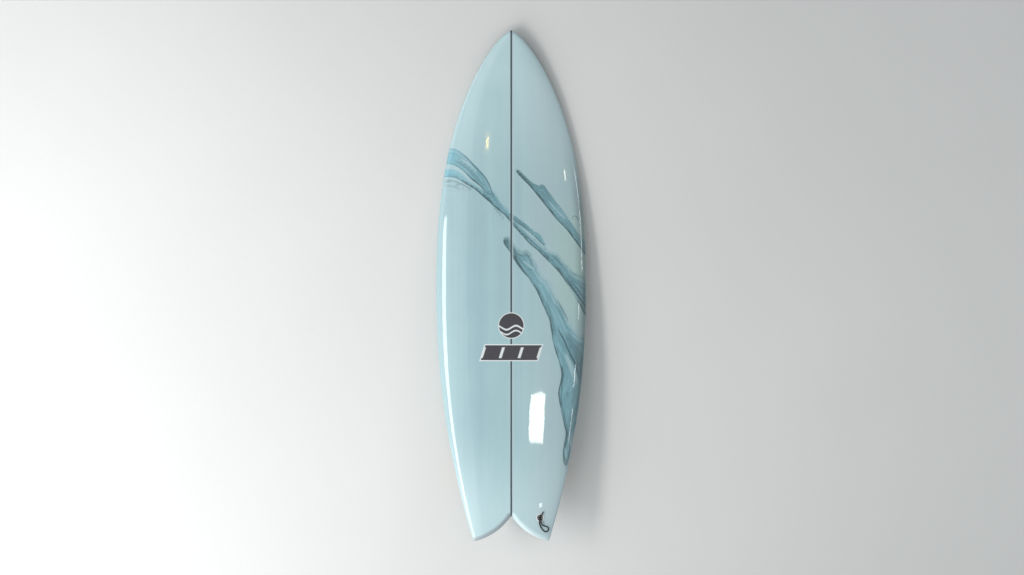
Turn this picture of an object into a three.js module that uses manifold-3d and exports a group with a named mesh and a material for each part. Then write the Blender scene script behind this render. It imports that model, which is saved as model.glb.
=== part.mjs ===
import * as THREE from 'three';
import { mergeVertices } from 'three/addons/utils/BufferGeometryUtils.js';
import Module from 'manifold-3d';

const wasm = await Module();
wasm.setup();

// A swallow-tailed fish surfboard, in millimetres: a glassed foam blank with a wooden stringer,
// a leash plug with its tied string, and two keel fins that pull out of their plugs.
//
// The board is shaped in its own level frame: X = 0 on the stringer, Y = 0 at the tail tips with +Y
// to the nose, and Z = 0 on the flat of the bottom. The outer group then pitches it, nose down, so
// that it rests on its belly and its two fin tips, with the floor at Z = 0.

// Outline
const LENGTH = 1778;
const HALF_WIDTH = 262;
const WIDE_POINT = 875;
const NOSE_FULLNESS = 2.45;
const NOSE_TAPER = 0.75;
const TAIL_HALF_WIDTH = 131;
const TAIL_FULLNESS = 2.1;
const TIP_HALF_WIDTH = 128;
const CRACK_DEPTH = 87;
const CRACK_RADIUS = 215;

// Thickness and rocker
const THICKNESS = 63.5;
const THICK_POINT = 930;
const NOSE_THICKNESS = 15;
const NOSE_THINNING = 1.7;
const TAIL_THICKNESS = 20;
const TAIL_THINNING = 1.95;
const FLAT_POINT = 800;
const NOSE_ROCKER = 108;
const NOSE_ROCKER_POWER = 2.4;
const TAIL_ROCKER = 42;
const TAIL_ROCKER_POWER = 2.2;

// Rails: the height of the rail's outermost line as a share of the thickness, and the deck's dome
const RAIL_LEVEL_TAIL = 0.3;
const RAIL_LEVEL_NOSE = 0.42;
const DOME_POWER = 2.6;
const TUCK_START = 0.83;
const TUCK_POWER = 2.2;
const CRACK_DECK_RADIUS = 20;
const CRACK_BOTTOM_RADIUS = 6;
const NOSE_ROLL = 18;

// Skins and core
const DECK_GLASS = 1.0;
const BOTTOM_GLASS = 0.8;
const GAP = 0.3;
const STRINGER_WIDTH = 5;
const STRINGER_SETBACK = 6;
const SEAM_GAP = 0.3;
const POCKET_REACH = 10;
const CUT_CLEARANCE = 100;

// Mesh stations along the crack and along the stringer, and columns across each half
const CRACK_STATIONS = 8;
const RUN_STATIONS = 28;
const DECK_COLUMNS = 8;
const BOTTOM_COLUMNS = 6;
const TAIL_SKEW = 73;
const TAIL_SKEW_RUN = 350;
const CRACK_BLEND_STATIONS = 4;
const REST_STATION = 18;
const ROD_SIDES = 16;
const PLUG_SIDES = 32;
const SLOPE_STEP = 4;

// Leash plug, in its own frame: Z = 0 on the deck around it
const PLUG_ACROSS = 101;
const PLUG_ALONG = 83;
const CUP_BODY_RADIUS = 12.8;
const CUP_RIM_RADIUS = 14;
const CUP_BORE_RADIUS = 11;
const CUP_HEIGHT = 16;
const CUP_RIM_PROUD = 0.9;
const CUP_RIM_DEPTH = 2;
const CUP_RIM_CHAMFER = 0.6;
const CUP_CORNER_DEPTH = 10;
const CUP_FLOOR_RADIUS = 7.5;
const CUP_FLOOR_DEPTH = 14.2;
const PIN_RADIUS = 2;
const PIN_HALF_LENGTH = 12;
const PIN_DEPTH = 7;
const STRING_DIAMETER = 4;

// Fins and their plugs, in a frame on the bottom: +Y to the nose, +Z out of the bottom, +X outboard
const FIN_ACROSS = 140;
const FIN_ALONG = 245;
const FIN_CANT = THREE.MathUtils.degToRad(4);
const FIN_TOE = THREE.MathUtils.degToRad(2);
const FIN_BASE = 184;
const FIN_SWEEP = 112;
const FIN_TIP_TURN = 40;
const FIN_TIP_POWER = 6;
const FIN_TRAIL = 32;
const FIN_TRAIL_POWER = 0.7;
const FIN_HEIGHTS = [0, 0.12, 0.3, 0.48, 0.64, 0.78, 0.88, 0.95, 0.985];
const FIN_THICKNESS = 7.6;
const FIN_THINNING = 0.55;
const FIN_THICKEST_SHARE = 0.16;
const FOIL_SHARES = [0, 0.06, 0.18, 0.38, 0.62, 0.84, 1];
const FOIL_POWER = 0.6;
const FLAT_FACE_SHARE = 0.55;
const FIN_CLEARANCE = 0.6;
const FIN_DEPTH_GUESS = 128;
const TAB_LENGTH = 20;
const TAB_WIDTH = 5.4;
const TAB_DEPTH = 14;
const TAB_OVERLAP = 1;
const TAB_SPACING = 110;
const SLOT_REACH = 5;
const FIN_PLUG_RADIUS = 16;
const FIN_PLUG_DEPTH = 18;
const SCREW_RADIUS = 2.5;
const SCREW_LENGTH = 8;
const SCREW_TILT = THREE.MathUtils.degToRad(35);
const SCREW_TIP_RADIUS = 1.2;
const SCREW_TIP_CONE = 1.3;
const SCREW_TIP_STANDOFF = 1.7;
const SCREW_TIP_DEPTH = 9.2;
const SCREW_BORE_REACH = 20;
const HEX_KEY_ACROSS = 2.5;
const HEX_KEY_DEPTH = 3;

// ---------------------------------------------------------------------------------------------
// Shape of the board in its level frame

function halfWidth(y) {
  if (y >= WIDE_POINT) {
    const u = Math.min(1, (y - WIDE_POINT) / (LENGTH - WIDE_POINT));
    return HALF_WIDTH * (1 - u ** NOSE_FULLNESS) ** NOSE_TAPER;
  }
  const u = (WIDE_POINT - y) / WIDE_POINT;
  return HALF_WIDTH - (HALF_WIDTH - TAIL_HALF_WIDTH) * u ** TAIL_FULLNESS;
}

function rocker(y) {
  if (y >= FLAT_POINT) {
    return NOSE_ROCKER * ((y - FLAT_POINT) / (LENGTH - FLAT_POINT)) ** NOSE_ROCKER_POWER;
  }
  return TAIL_ROCKER * ((FLAT_POINT - y) / FLAT_POINT) ** TAIL_ROCKER_POWER;
}

function centreThickness(y) {
  if (y >= THICK_POINT) {
    const u = (y - THICK_POINT) / (LENGTH - THICK_POINT);
    return THICKNESS - (THICKNESS - NOSE_THICKNESS) * u ** NOSE_THINNING;
  }
  const u = (THICK_POINT - y) / THICK_POINT;
  return THICKNESS - (THICKNESS - TAIL_THICKNESS) * u ** TAIL_THINNING;
}

function railLevel(y) {
  return THREE.MathUtils.lerp(RAIL_LEVEL_TAIL, RAIL_LEVEL_NOSE, y / LENGTH) * centreThickness(y);
}

// The right lobe's crack edge is an arc that bulges into the crack, from the apex to the tail tip.
const apex = new THREE.Vector2(0, CRACK_DEPTH);
const tailTip = new THREE.Vector2(TIP_HALF_WIDTH, 0);
const crackChord = tailTip.clone().sub(apex);
const crackHalfAngle = Math.asin(crackChord.length() / 2 / CRACK_RADIUS);
const crackCentre = apex.clone().add(tailTip).multiplyScalar(0.5).add(
  new THREE.Vector2(-crackChord.y, crackChord.x).normalize()
    .multiplyScalar(CRACK_RADIUS * Math.cos(crackHalfAngle)),
);
const apexAngle = Math.atan2(apex.y - crackCentre.y, apex.x - crackCentre.x);

function crackPoint(share) {
  const angle = apexAngle + 2 * crackHalfAngle * share;
  return new THREE.Vector2(
    crackCentre.x + CRACK_RADIUS * Math.cos(angle),
    crackCentre.y + CRACK_RADIUS * Math.sin(angle),
  );
}

function crackDistance(x, y) {
  const p = new THREE.Vector2(x, y);
  const turn = p.clone().sub(crackCentre).angle() - apexAngle - 2 * Math.PI;
  if (turn > 0 && turn < 2 * crackHalfAngle) {
    return Math.max(0, CRACK_RADIUS - p.distanceTo(crackCentre));
  }
  return Math.min(p.distanceTo(apex), p.distanceTo(tailTip));
}

// A quarter round: 0 at the edge, with a steep start, and 1 from the given radius inward.
function quarterRound(distance, radius) {
  const u = Math.max(0, 1 - distance / radius);
  return Math.sqrt(1 - u * u);
}

function deckHeight(x, y) {
  const across = Math.min(1, x / Math.max(halfWidth(y), 1e-6));
  const dome = Math.sqrt(1 - across ** DOME_POWER);
  const crackRoll = quarterRound(crackDistance(x, y), CRACK_DECK_RADIUS);
  const noseRoll = quarterRound(LENGTH - y, NOSE_ROLL);
  const level = railLevel(y);
  return rocker(y) + level + (centreThickness(y) - level) * dome * crackRoll * noseRoll;
}

function bottomHeight(x, y) {
  const across = Math.min(1, x / Math.max(halfWidth(y), 1e-6));
  const tuck = Math.max(0, (across - TUCK_START) / (1 - TUCK_START));
  const rail = Math.sqrt(1 - tuck ** TUCK_POWER);
  const crackRoll = quarterRound(crackDistance(x, y), CRACK_BOTTOM_RADIUS);
  const noseRoll = quarterRound(LENGTH - y, NOSE_ROLL);
  return rocker(y) + railLevel(y) * (1 - rail * crackRoll * noseRoll);
}

// ---------------------------------------------------------------------------------------------
// Mesh helpers

function geometryOf(positions, index) {
  const geometry = new THREE.BufferGeometry();
  geometry.setAttribute('position', new THREE.Float32BufferAttribute(positions, 3));
  if (index) {
    geometry.setIndex(index);
  }
  return geometry;
}

function toSolid(geometry) {
  const bare = geometry.clone();
  bare.deleteAttribute('normal');
  bare.deleteAttribute('uv');
  const merged = mergeVertices(bare, 1e-4);
  return new wasm.Manifold(new wasm.Mesh({
    numProp: 3,
    vertProperties: new Float32Array(merged.attributes.position.array),
    triVerts: new Uint32Array(merged.index.array),
  }));
}

function toGeometry(solid) {
  const mesh = solid.getMesh();
  return geometryOf(Array.from(mesh.vertProperties), Array.from(mesh.triVerts));
}

function mirrored(geometry) {
  const flipped = mergeVertices(geometry.clone().scale(-1, 1, 1));
  const index = flipped.index.array;
  for (let i = 0; i < index.length; i += 3) {
    [index[i], index[i + 1]] = [index[i + 1], index[i]];
  }
  return flipped;
}

function boxBetween(low, high) {
  const size = new THREE.Vector3().subVectors(high, low);
  const middle = new THREE.Vector3().addVectors(low, high).multiplyScalar(0.5);
  return new THREE.BoxGeometry(size.x, size.y, size.z).translate(middle.x, middle.y, middle.z);
}

// A rod along Z between two heights.
function rod(radius, low, high, sides) {
  return new THREE.CylinderGeometry(radius, radius, high - low, sides)
    .rotateX(Math.PI / 2).translate(0, 0, (low + high) / 2);
}

// A solid of revolution about Z, from [radius, height] pairs that start and end on the axis.
function turned(profile, sides) {
  const points = profile.map(([radius, height]) => new THREE.Vector2(radius, height));
  return new THREE.LatheGeometry(points, sides).rotateX(Math.PI / 2);
}

function named(name, geometry, color, roughness, metalness = 0) {
  geometry.deleteAttribute('uv');
  geometry.computeVertexNormals();
  const material = new THREE.MeshStandardMaterial({ color, roughness, metalness });
  const mesh = new THREE.Mesh(geometry, material);
  mesh.name = name;
  return mesh;
}

// ---------------------------------------------------------------------------------------------
// Hull: one closed surface whose deck triangles come first, then the bottom's

function stationEnds(k) {
  if (k <= CRACK_STATIONS) {
    const share = k / CRACK_STATIONS;
    const inner = crackPoint(1 - share);
    const y = share * (CRACK_DEPTH + TAIL_SKEW);
    const outer = k === 0 ? tailTip : new THREE.Vector2(halfWidth(y), y);
    return { inner, outer, crackShare: 1 };
  }
  const step = k - CRACK_STATIONS;
  const run = (1 - Math.cos(Math.PI * step / RUN_STATIONS)) / 2;
  const y = CRACK_DEPTH + (LENGTH - CRACK_DEPTH) * run;
  const fade = Math.max(0, 1 - (y - CRACK_DEPTH) / TAIL_SKEW_RUN) ** 2;
  const outerY = y + TAIL_SKEW * fade;
  const crackShare = Math.max(0, 1 - step / CRACK_BLEND_STATIONS);
  const outer = new THREE.Vector2(halfWidth(outerY), outerY);
  return { inner: new THREE.Vector2(0, y), outer, crackShare };
}

function hullPoint(k, column, columns, height) {
  const { inner, outer, crackShare } = stationEnds(k);
  const s = column / columns;
  const towardRail = Math.sin(Math.PI * s / 2);
  const towardBoth = (1 - Math.cos(Math.PI * s)) / 2;
  const p = inner.clone().lerp(outer, THREE.MathUtils.lerp(towardRail, towardBoth, crackShare));
  const onSeam = column === columns || (column === 0 && k <= CRACK_STATIONS);
  return [p.x, p.y, onSeam ? rocker(p.y) + railLevel(p.y) : height(p.x, p.y)];
}

function halfSheet(columns, height, side, faceUp) {
  const corners = [];
  const point = (k, column) => {
    const [x, y, z] = hullPoint(k, column, columns, height);
    return [x * side, y, z];
  };
  const stations = CRACK_STATIONS + RUN_STATIONS;
  for (let k = 0; k < stations; k++) {
    for (let column = 0; column < columns; column++) {
      const near = [point(k, column), point(k, column + 1)];
      const far = [point(k + 1, column + 1), point(k + 1, column)];
      const quad = [...near, ...far];
      if ((side > 0) !== faceUp) {
        quad.reverse();
      }
      corners.push(...quad[0], ...quad[1], ...quad[2], ...quad[0], ...quad[2], ...quad[3]);
    }
  }
  return corners;
}

function withoutSlivers(index) {
  const kept = [];
  for (let i = 0; i < index.length; i += 3) {
    const [a, b, c] = [index[i], index[i + 1], index[i + 2]];
    if (a !== b && b !== c && c !== a) {
      kept.push(a, b, c);
    }
  }
  return kept;
}

function makeHull() {
  const deck = [
    ...halfSheet(DECK_COLUMNS, deckHeight, 1, true),
    ...halfSheet(DECK_COLUMNS, deckHeight, -1, true),
  ];
  const bottom = [
    ...halfSheet(BOTTOM_COLUMNS, bottomHeight, 1, false),
    ...halfSheet(BOTTOM_COLUMNS, bottomHeight, -1, false),
  ];
  const merged = mergeVertices(geometryOf([...deck, ...bottom]), 1e-3);
  const all = Array.from(merged.index.array);
  const deckIndex = withoutSlivers(all.slice(0, deck.length / 3));
  const bottomIndex = withoutSlivers(all.slice(deck.length / 3));
  merged.setIndex([...deckIndex, ...bottomIndex]);
  merged.computeVertexNormals();
  const { position, normal } = merged.attributes;
  return { deckIndex, bottomIndex, position, normal };
}

function hullOffset(hull, depth, lift = 0, liftedVertices = new Set()) {
  const points = [];
  for (let v = 0; v < hull.position.count; v++) {
    const p = new THREE.Vector3().fromBufferAttribute(hull.position, v);
    const n = new THREE.Vector3().fromBufferAttribute(hull.normal, v);
    p.addScaledVector(n, -depth);
    if (liftedVertices.has(v)) {
      p.z += lift;
    }
    points.push(p.x, p.y, p.z);
  }
  return points;
}

function boundaryEdges(index) {
  const open = new Map();
  for (let i = 0; i < index.length; i += 3) {
    for (let corner = 0; corner < 3; corner++) {
      const from = index[i + corner];
      const to = index[i + (corner + 1) % 3];
      const wasOpen = open.delete(`${to},${from}`);
      if (!wasOpen) {
        open.set(`${from},${to}`, [from, to]);
      }
    }
  }
  return [...open.values()];
}

// A skin of the hull with its own thickness; its edge stands back from the rail line by the seam gap.
function skin(hull, index, thickness, seamLift) {
  const edges = boundaryEdges(index);
  const rim = new Set(edges.flat());
  const count = hull.position.count;
  const outside = hullOffset(hull, 0, seamLift, rim);
  const inside = hullOffset(hull, thickness, seamLift, rim);
  const positions = [...outside, ...inside];
  const faces = [...index];
  for (let i = 0; i < index.length; i += 3) {
    faces.push(index[i] + count, index[i + 2] + count, index[i + 1] + count);
  }
  for (const [from, to] of edges) {
    faces.push(to, from, from + count, to, from + count, to + count);
  }
  return toSolid(geometryOf(positions, faces));
}

// ---------------------------------------------------------------------------------------------
// Leash plug and string

function leashCup() {
  const outside = turned([
    [0, -CUP_HEIGHT],
    [CUP_BODY_RADIUS, -CUP_HEIGHT],
    [CUP_BODY_RADIUS, -CUP_RIM_DEPTH],
    [CUP_RIM_RADIUS, -CUP_RIM_DEPTH],
    [CUP_RIM_RADIUS, CUP_RIM_PROUD - CUP_RIM_CHAMFER],
    [CUP_RIM_RADIUS - CUP_RIM_CHAMFER, CUP_RIM_PROUD],
    [CUP_BORE_RADIUS, CUP_RIM_PROUD],
    [CUP_BORE_RADIUS, -CUP_CORNER_DEPTH],
    [CUP_FLOOR_RADIUS, -CUP_FLOOR_DEPTH],
    [0, -CUP_FLOOR_DEPTH],
  ], PLUG_SIDES);
  return toSolid(outside).subtract(toSolid(leashPin(GAP)));
}

// The steel pin across the cup, or the hole for it when it is grown by a gap.
function leashPin(growth = 0) {
  const reach = PIN_HALF_LENGTH + growth;
  return rod(PIN_RADIUS + growth, -reach, reach, ROD_SIDES)
    .rotateY(Math.PI / 2)
    .translate(0, 0, -PIN_DEPTH);
}

// The room that the cup takes out of the deck glass and the foam.
function leashPocket() {
  return turned([
    [0, -CUP_HEIGHT - GAP],
    [CUP_BODY_RADIUS + GAP, -CUP_HEIGHT - GAP],
    [CUP_BODY_RADIUS + GAP, -CUP_RIM_DEPTH - GAP],
    [CUP_RIM_RADIUS + GAP, -CUP_RIM_DEPTH - GAP],
    [CUP_RIM_RADIUS + GAP, POCKET_REACH],
    [0, POCKET_REACH],
  ], PLUG_SIDES);
}

// The string's route in the plug's frame: from the knot over the rim, round its loop on the deck,
// back over the rim, under the pin and up to the knot again.
const STRING_ROUTE = [
  [-2.6, -5.9, 3.2],
  [-2.8, -9.8, 4.0],
  [-2.8, -14, 4.1],
  [-2.6, -18.6, 3.5],
  [-1.6, -24.6, 2.8],
  [1, -31.4, 2.5],
  [5.2, -38.6, 2.4],
  [10.9, -45, 2.1],
  [17.8, -49.5, 1.6],
  [24.1, -48.3, 1],
  [28.2, -43.4, 0.6],
  [28.2, -37, 0.8],
  [24.1, -32.1, 1.3],
  [17.4, -30.1, 1.9],
  [10.4, -27.6, 2.7],
  [5.9, -23.6, 4.4],
  [3.4, -19.4, 6.2],
  [2.6, -15.9, 6.9],
  [2.5, -12.5, 6.15],
  [2.5, -9.8, 4.05],
  [2.5, -8.2, 1],
  [2.5, -7.9, -1.6],
  [2.5, -7.9, -3.9],
  [2.5, -6.8, -7.8],
  [2.5, -3.9, -10.7],
  [2.4, 0, -11.8],
  [2.4, 3.9, -10.7],
  [2.4, 6.8, -7.8],
  [2.5, 7.9, -3.9],
  [2.6, 7.8, -1.1],
];
const STRING_STEPS = 60;
const STRING_SIDES = 8;

// The knot is two lumps over the cup, with the string's own tail lying beyond the rim.
const KNOT_LUMPS = [
  { centre: [-0.6, -0.2, 2.6], size: [4.6, 4.6, 3.4] },
  { centre: [3.2, 6.8, 2.9], size: [3.9, 4.2, 3.0] },
];
const LUMP_SIDES = 14;
const LUMP_RINGS = 8;
const KNOT_TAIL = [
  [3.2, 6.8, 2.9],
  [5.6, 11.2, 3.7],
  [8.0, 15.6, 3.8],
  [10.4, 21, 3.1],
];
const TAIL_STEPS = 10;

function cordAlong(points, steps) {
  const route = new THREE.CatmullRomCurve3(points.map((p) => new THREE.Vector3(...p)));
  const section = new THREE.Shape();
  for (let side = 0; side < STRING_SIDES; side++) {
    const angle = 2 * Math.PI * side / STRING_SIDES;
    const x = STRING_DIAMETER / 2 * Math.cos(angle);
    const y = STRING_DIAMETER / 2 * Math.sin(angle);
    if (side === 0) {
      section.moveTo(x, y);
    } else {
      section.lineTo(x, y);
    }
  }
  return new THREE.ExtrudeGeometry(section, { steps, extrudePath: route, curveSegments: 1 });
}

function leashKnot() {
  let knot = toSolid(cordAlong(KNOT_TAIL, TAIL_STEPS));
  for (const { centre, size } of KNOT_LUMPS) {
    const lump = new THREE.SphereGeometry(1, LUMP_SIDES, LUMP_RINGS).scale(...size).translate(...centre);
    knot = knot.add(toSolid(lump));
  }
  return toGeometry(knot);
}

// ---------------------------------------------------------------------------------------------
// Fins, fin plugs and grub screws, drawn for the left side; the right side is their mirror image

// A keel outline, as shares of its depth: the leading edge sweeps back and turns in at the tip.
function finLeading(h) {
  return FIN_BASE / 2 - FIN_SWEEP * h - FIN_TIP_TURN * h ** FIN_TIP_POWER;
}

function finTrailing(h) {
  return -FIN_BASE / 2 + FIN_TRAIL * h ** FIN_TRAIL_POWER;
}

function finRing(h, depth) {
  const front = finLeading(h);
  const back = finTrailing(h);
  const chord = front - back;
  const thick = Math.min(FIN_THICKNESS * (1 - FIN_THINNING * h), chord * FIN_THICKEST_SHARE);
  const z = FIN_CLEARANCE + depth * h;
  const ring = FOIL_SHARES.map((share) => {
    const bulge = Math.sin(Math.PI * share ** FOIL_POWER) - 0.5;
    return [thick * bulge, front - chord * share, z];
  });
  ring.push([-thick / 2, front - chord * FLAT_FACE_SHARE, z]);
  return ring;
}

function blade(depth) {
  const rings = FIN_HEIGHTS.map((h) => finRing(h, depth));
  const count = rings[0].length;
  const positions = rings.flat(2);
  const faces = [];
  for (let ring = 0; ring < rings.length - 1; ring++) {
    for (let i = 0; i < count; i++) {
      const a = ring * count + i;
      const b = ring * count + (i + 1) % count;
      faces.push(a, a + count, b, b, a + count, b + count);
    }
  }
  const last = (rings.length - 1) * count;
  for (let i = 1; i < count - 1; i++) {
    faces.push(0, i, i + 1);
    faces.push(last, last + i + 1, last + i);
  }
  return geometryOf(positions, faces);
}

const tabCentres = [-TAB_SPACING / 2, TAB_SPACING / 2];

function keelFin(depth) {
  let fin = toSolid(blade(depth));
  for (const y of tabCentres) {
    const low = new THREE.Vector3(-TAB_WIDTH / 2, y - TAB_LENGTH / 2, -TAB_DEPTH);
    const high = new THREE.Vector3(TAB_WIDTH / 2, y + TAB_LENGTH / 2, FIN_CLEARANCE + TAB_OVERLAP);
    fin = fin.add(toSolid(boxBetween(low, high)));
  }
  return toGeometry(fin);
}

// The screw comes in from the bottom on the inboard side and points at the tab's flank.
const screwTip = new THREE.Vector3(-TAB_WIDTH / 2 - SCREW_TIP_STANDOFF, 0, -SCREW_TIP_DEPTH);

function alongScrew(geometry) {
  return geometry.rotateY(-SCREW_TILT).translate(screwTip.x, screwTip.y, screwTip.z);
}

function grubScrew() {
  const body = turned([
    [0, 0],
    [SCREW_TIP_RADIUS, 0],
    [SCREW_RADIUS, SCREW_TIP_CONE],
    [SCREW_RADIUS, SCREW_LENGTH],
    [0, SCREW_LENGTH],
  ], ROD_SIDES);
  const keyCorner = HEX_KEY_ACROSS / 2 / Math.cos(Math.PI / 6);
  const hexKey = rod(keyCorner, SCREW_LENGTH - HEX_KEY_DEPTH, SCREW_LENGTH + 1, 6);
  return alongScrew(toGeometry(toSolid(body).subtract(toSolid(hexKey))));
}

function finPlug() {
  const puck = toSolid(rod(FIN_PLUG_RADIUS, -FIN_PLUG_DEPTH, 0, PLUG_SIDES));
  const slot = boxBetween(
    new THREE.Vector3(-TAB_WIDTH / 2 - GAP, -TAB_LENGTH / 2 - GAP, -TAB_DEPTH - GAP),
    new THREE.Vector3(TAB_WIDTH / 2 + GAP, TAB_LENGTH / 2 + GAP, SLOT_REACH),
  ).rotateY(FIN_CANT);
  const boreRod = rod(SCREW_RADIUS + GAP, -GAP, SCREW_BORE_REACH, ROD_SIDES);
  const bore = alongScrew(boreRod).rotateY(FIN_CANT);
  return toGeometry(puck.subtract(toSolid(slot)).subtract(toSolid(bore)));
}

function finPocket() {
  return rod(FIN_PLUG_RADIUS + GAP, -FIN_PLUG_DEPTH - GAP, POCKET_REACH, PLUG_SIDES);
}

// ---------------------------------------------------------------------------------------------
// Placing

function deckNormal(x, y) {
  const fallAcross = deckHeight(x - SLOPE_STEP, y) - deckHeight(x + SLOPE_STEP, y);
  const fallAlong = deckHeight(x, y - SLOPE_STEP) - deckHeight(x, y + SLOPE_STEP);
  return new THREE.Vector3(fallAcross, fallAlong, 2 * SLOPE_STEP).normalize();
}

const leashFrame = new THREE.Group();
const leashUp = deckNormal(PLUG_ACROSS, PLUG_ALONG);
leashFrame.position.set(PLUG_ACROSS, PLUG_ALONG, deckHeight(PLUG_ACROSS, PLUG_ALONG));
leashFrame.quaternion.setFromUnitVectors(new THREE.Vector3(0, 0, 1), leashUp);
leashFrame.updateMatrixWorld(true);

// A frame on the bottom under one fin; side is -1 for the left fin and 1 for the right.
function finFrame(side) {
  const frame = new THREE.Group();
  const rise = rocker(FIN_ALONG + SLOPE_STEP) - rocker(FIN_ALONG - SLOPE_STEP);
  const slope = rise / (2 * SLOPE_STEP);
  frame.position.set(side * FIN_ACROSS, FIN_ALONG, rocker(FIN_ALONG));
  frame.rotation.set(Math.atan(slope), Math.PI, -side * FIN_TOE);
  frame.updateMatrixWorld(true);
  return frame;
}

function forSide(geometry, side) {
  return side < 0 ? geometry : mirrored(geometry);
}

function buildFinSet(board, side, depth) {
  const label = side < 0 ? 'left' : 'right';
  const frame = finFrame(side);
  const fin = named(`keel_fin_${label}`, forSide(keelFin(depth), side), 0x8a5a33, 0.35);
  fin.rotation.y = -side * FIN_CANT;
  frame.add(fin);
  for (const y of tabCentres) {
    const place = y > 0 ? 'front' : 'rear';
    const plug = named(`fin_plug_${label}_${place}`, forSide(finPlug(), side), 0xe6e6e0, 0.5);
    plug.position.y = y;
    const screw = named(`fin_screw_${label}_${place}`, forSide(grubScrew(), side), 0x9a9ca0, 0.3, 1);
    const canted = new THREE.Group();
    canted.rotation.y = -side * FIN_CANT;
    canted.position.y = y;
    canted.add(screw);
    frame.add(plug, canted);
  }
  board.add(frame);
}

// A block that keeps what lies between two distances from the stringer, ahead of tailEnd.
function slab(from, to, tailEnd) {
  const top = NOSE_ROCKER + THICKNESS + CUT_CLEARANCE;
  return toSolid(boxBetween(
    new THREE.Vector3(from, tailEnd, -CUT_CLEARANCE),
    new THREE.Vector3(to, LENGTH + CUT_CLEARANCE, top),
  ));
}

function buildBody(board) {
  const hull = makeHull();
  const core = toSolid(geometryOf(
    hullOffset(hull, DECK_GLASS + GAP),
    [...hull.deckIndex, ...hull.bottomIndex],
  ));
  const leashRoom = toSolid(leashPocket().applyMatrix4(leashFrame.matrixWorld));
  let deck = skin(hull, hull.deckIndex, DECK_GLASS, SEAM_GAP / 2).subtract(leashRoom);
  let bottom = skin(hull, hull.bottomIndex, BOTTOM_GLASS, -SEAM_GAP / 2);
  let foam = core.subtract(leashRoom);
  for (const side of [-1, 1]) {
    const frame = finFrame(side);
    for (const y of tabCentres) {
      const room = toSolid(finPocket().translate(0, y, 0).applyMatrix4(frame.matrixWorld));
      bottom = bottom.subtract(room);
      foam = foam.subtract(room);
    }
  }
  const cheek = STRINGER_WIDTH / 2;
  const reach = HALF_WIDTH + CUT_CLEARANCE;
  const wood = foam.intersect(slab(-cheek, cheek, CRACK_DEPTH + STRINGER_SETBACK));
  const leftFoam = foam.intersect(slab(-reach, -cheek - GAP, -CUT_CLEARANCE));
  const rightFoam = foam.intersect(slab(cheek + GAP, reach, -CUT_CLEARANCE));
  board.add(named('deck_lamination', toGeometry(deck), 0xa3c0c6, 0.12));
  board.add(named('bottom_lamination', toGeometry(bottom), 0x9dbcc2, 0.12));
  board.add(named('foam_blank_left', toGeometry(leftFoam), 0xf2f0e8, 0.9));
  board.add(named('foam_blank_right', toGeometry(rightFoam), 0xf2f0e8, 0.9));
  board.add(named('stringer', toGeometry(wood), 0xb98a55, 0.7));
}

function buildLeashPlug(board) {
  leashFrame.add(named('leash_plug_cup', toGeometry(leashCup()), 0xd9dcda, 0.35));
  leashFrame.add(named('leash_plug_pin', leashPin(), 0xb8babd, 0.25, 1));
  leashFrame.add(named('leash_string', cordAlong(STRING_ROUTE, STRING_STEPS), 0x15161a, 0.8));
  leashFrame.add(named('leash_string_knot', leashKnot(), 0x15161a, 0.8));
  board.add(leashFrame);
}

// The belly facet between two stations lies on the floor once the board is pitched by its slope.
const restFront = stationEnds(CRACK_STATIONS + REST_STATION + 1).inner.y;
const restBack = stationEnds(CRACK_STATIONS + REST_STATION).inner.y;
const restPitch = Math.atan((rocker(restFront) - rocker(restBack)) / (restFront - restBack));
const restTurn = new THREE.Matrix4().makeRotationX(-restPitch);
const bellyHeight = new THREE.Vector3(0, restBack, rocker(restBack)).applyMatrix4(restTurn).z;

// The fin's depth is what brings its tip down to the same floor.
function finTipHeight(depth) {
  const fin = keelFin(depth).applyMatrix4(new THREE.Matrix4().makeRotationY(FIN_CANT));
  fin.applyMatrix4(finFrame(-1).matrixWorld).applyMatrix4(restTurn);
  fin.computeBoundingBox();
  return fin.boundingBox.min.z;
}

function solveFinDepth() {
  let depth = FIN_DEPTH_GUESS;
  for (let step = 0; step < 3; step++) {
    depth += finTipHeight(depth) - bellyHeight;
  }
  return depth;
}

const board = new THREE.Group();
buildBody(board);
buildLeashPlug(board);
const finDepth = solveFinDepth();
for (const side of [-1, 1]) {
  buildFinSet(board, side, finDepth);
}

// The origin is on the floor under the middle of the board's box, measured without the string.
board.rotation.x = -restPitch;
board.position.z = -bellyHeight;
const surfboard = new THREE.Group();
surfboard.add(board);
surfboard.updateMatrixWorld(true);
const box = new THREE.Box3();
board.traverse((node) => {
  if (node.isMesh && !node.name.startsWith('leash_string')) {
    box.expandByObject(node, true);
  }
});
board.position.y = -(box.min.y + box.max.y) / 2;

export default surfboard;
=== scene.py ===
"""Looks of a swallow-tailed fish surfboard: tinted, swirled gloss resin, with its leash string."""
import math
from collections import namedtuple

import bmesh
import bpy
import numpy as np
from mathutils import Matrix, Vector


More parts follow.
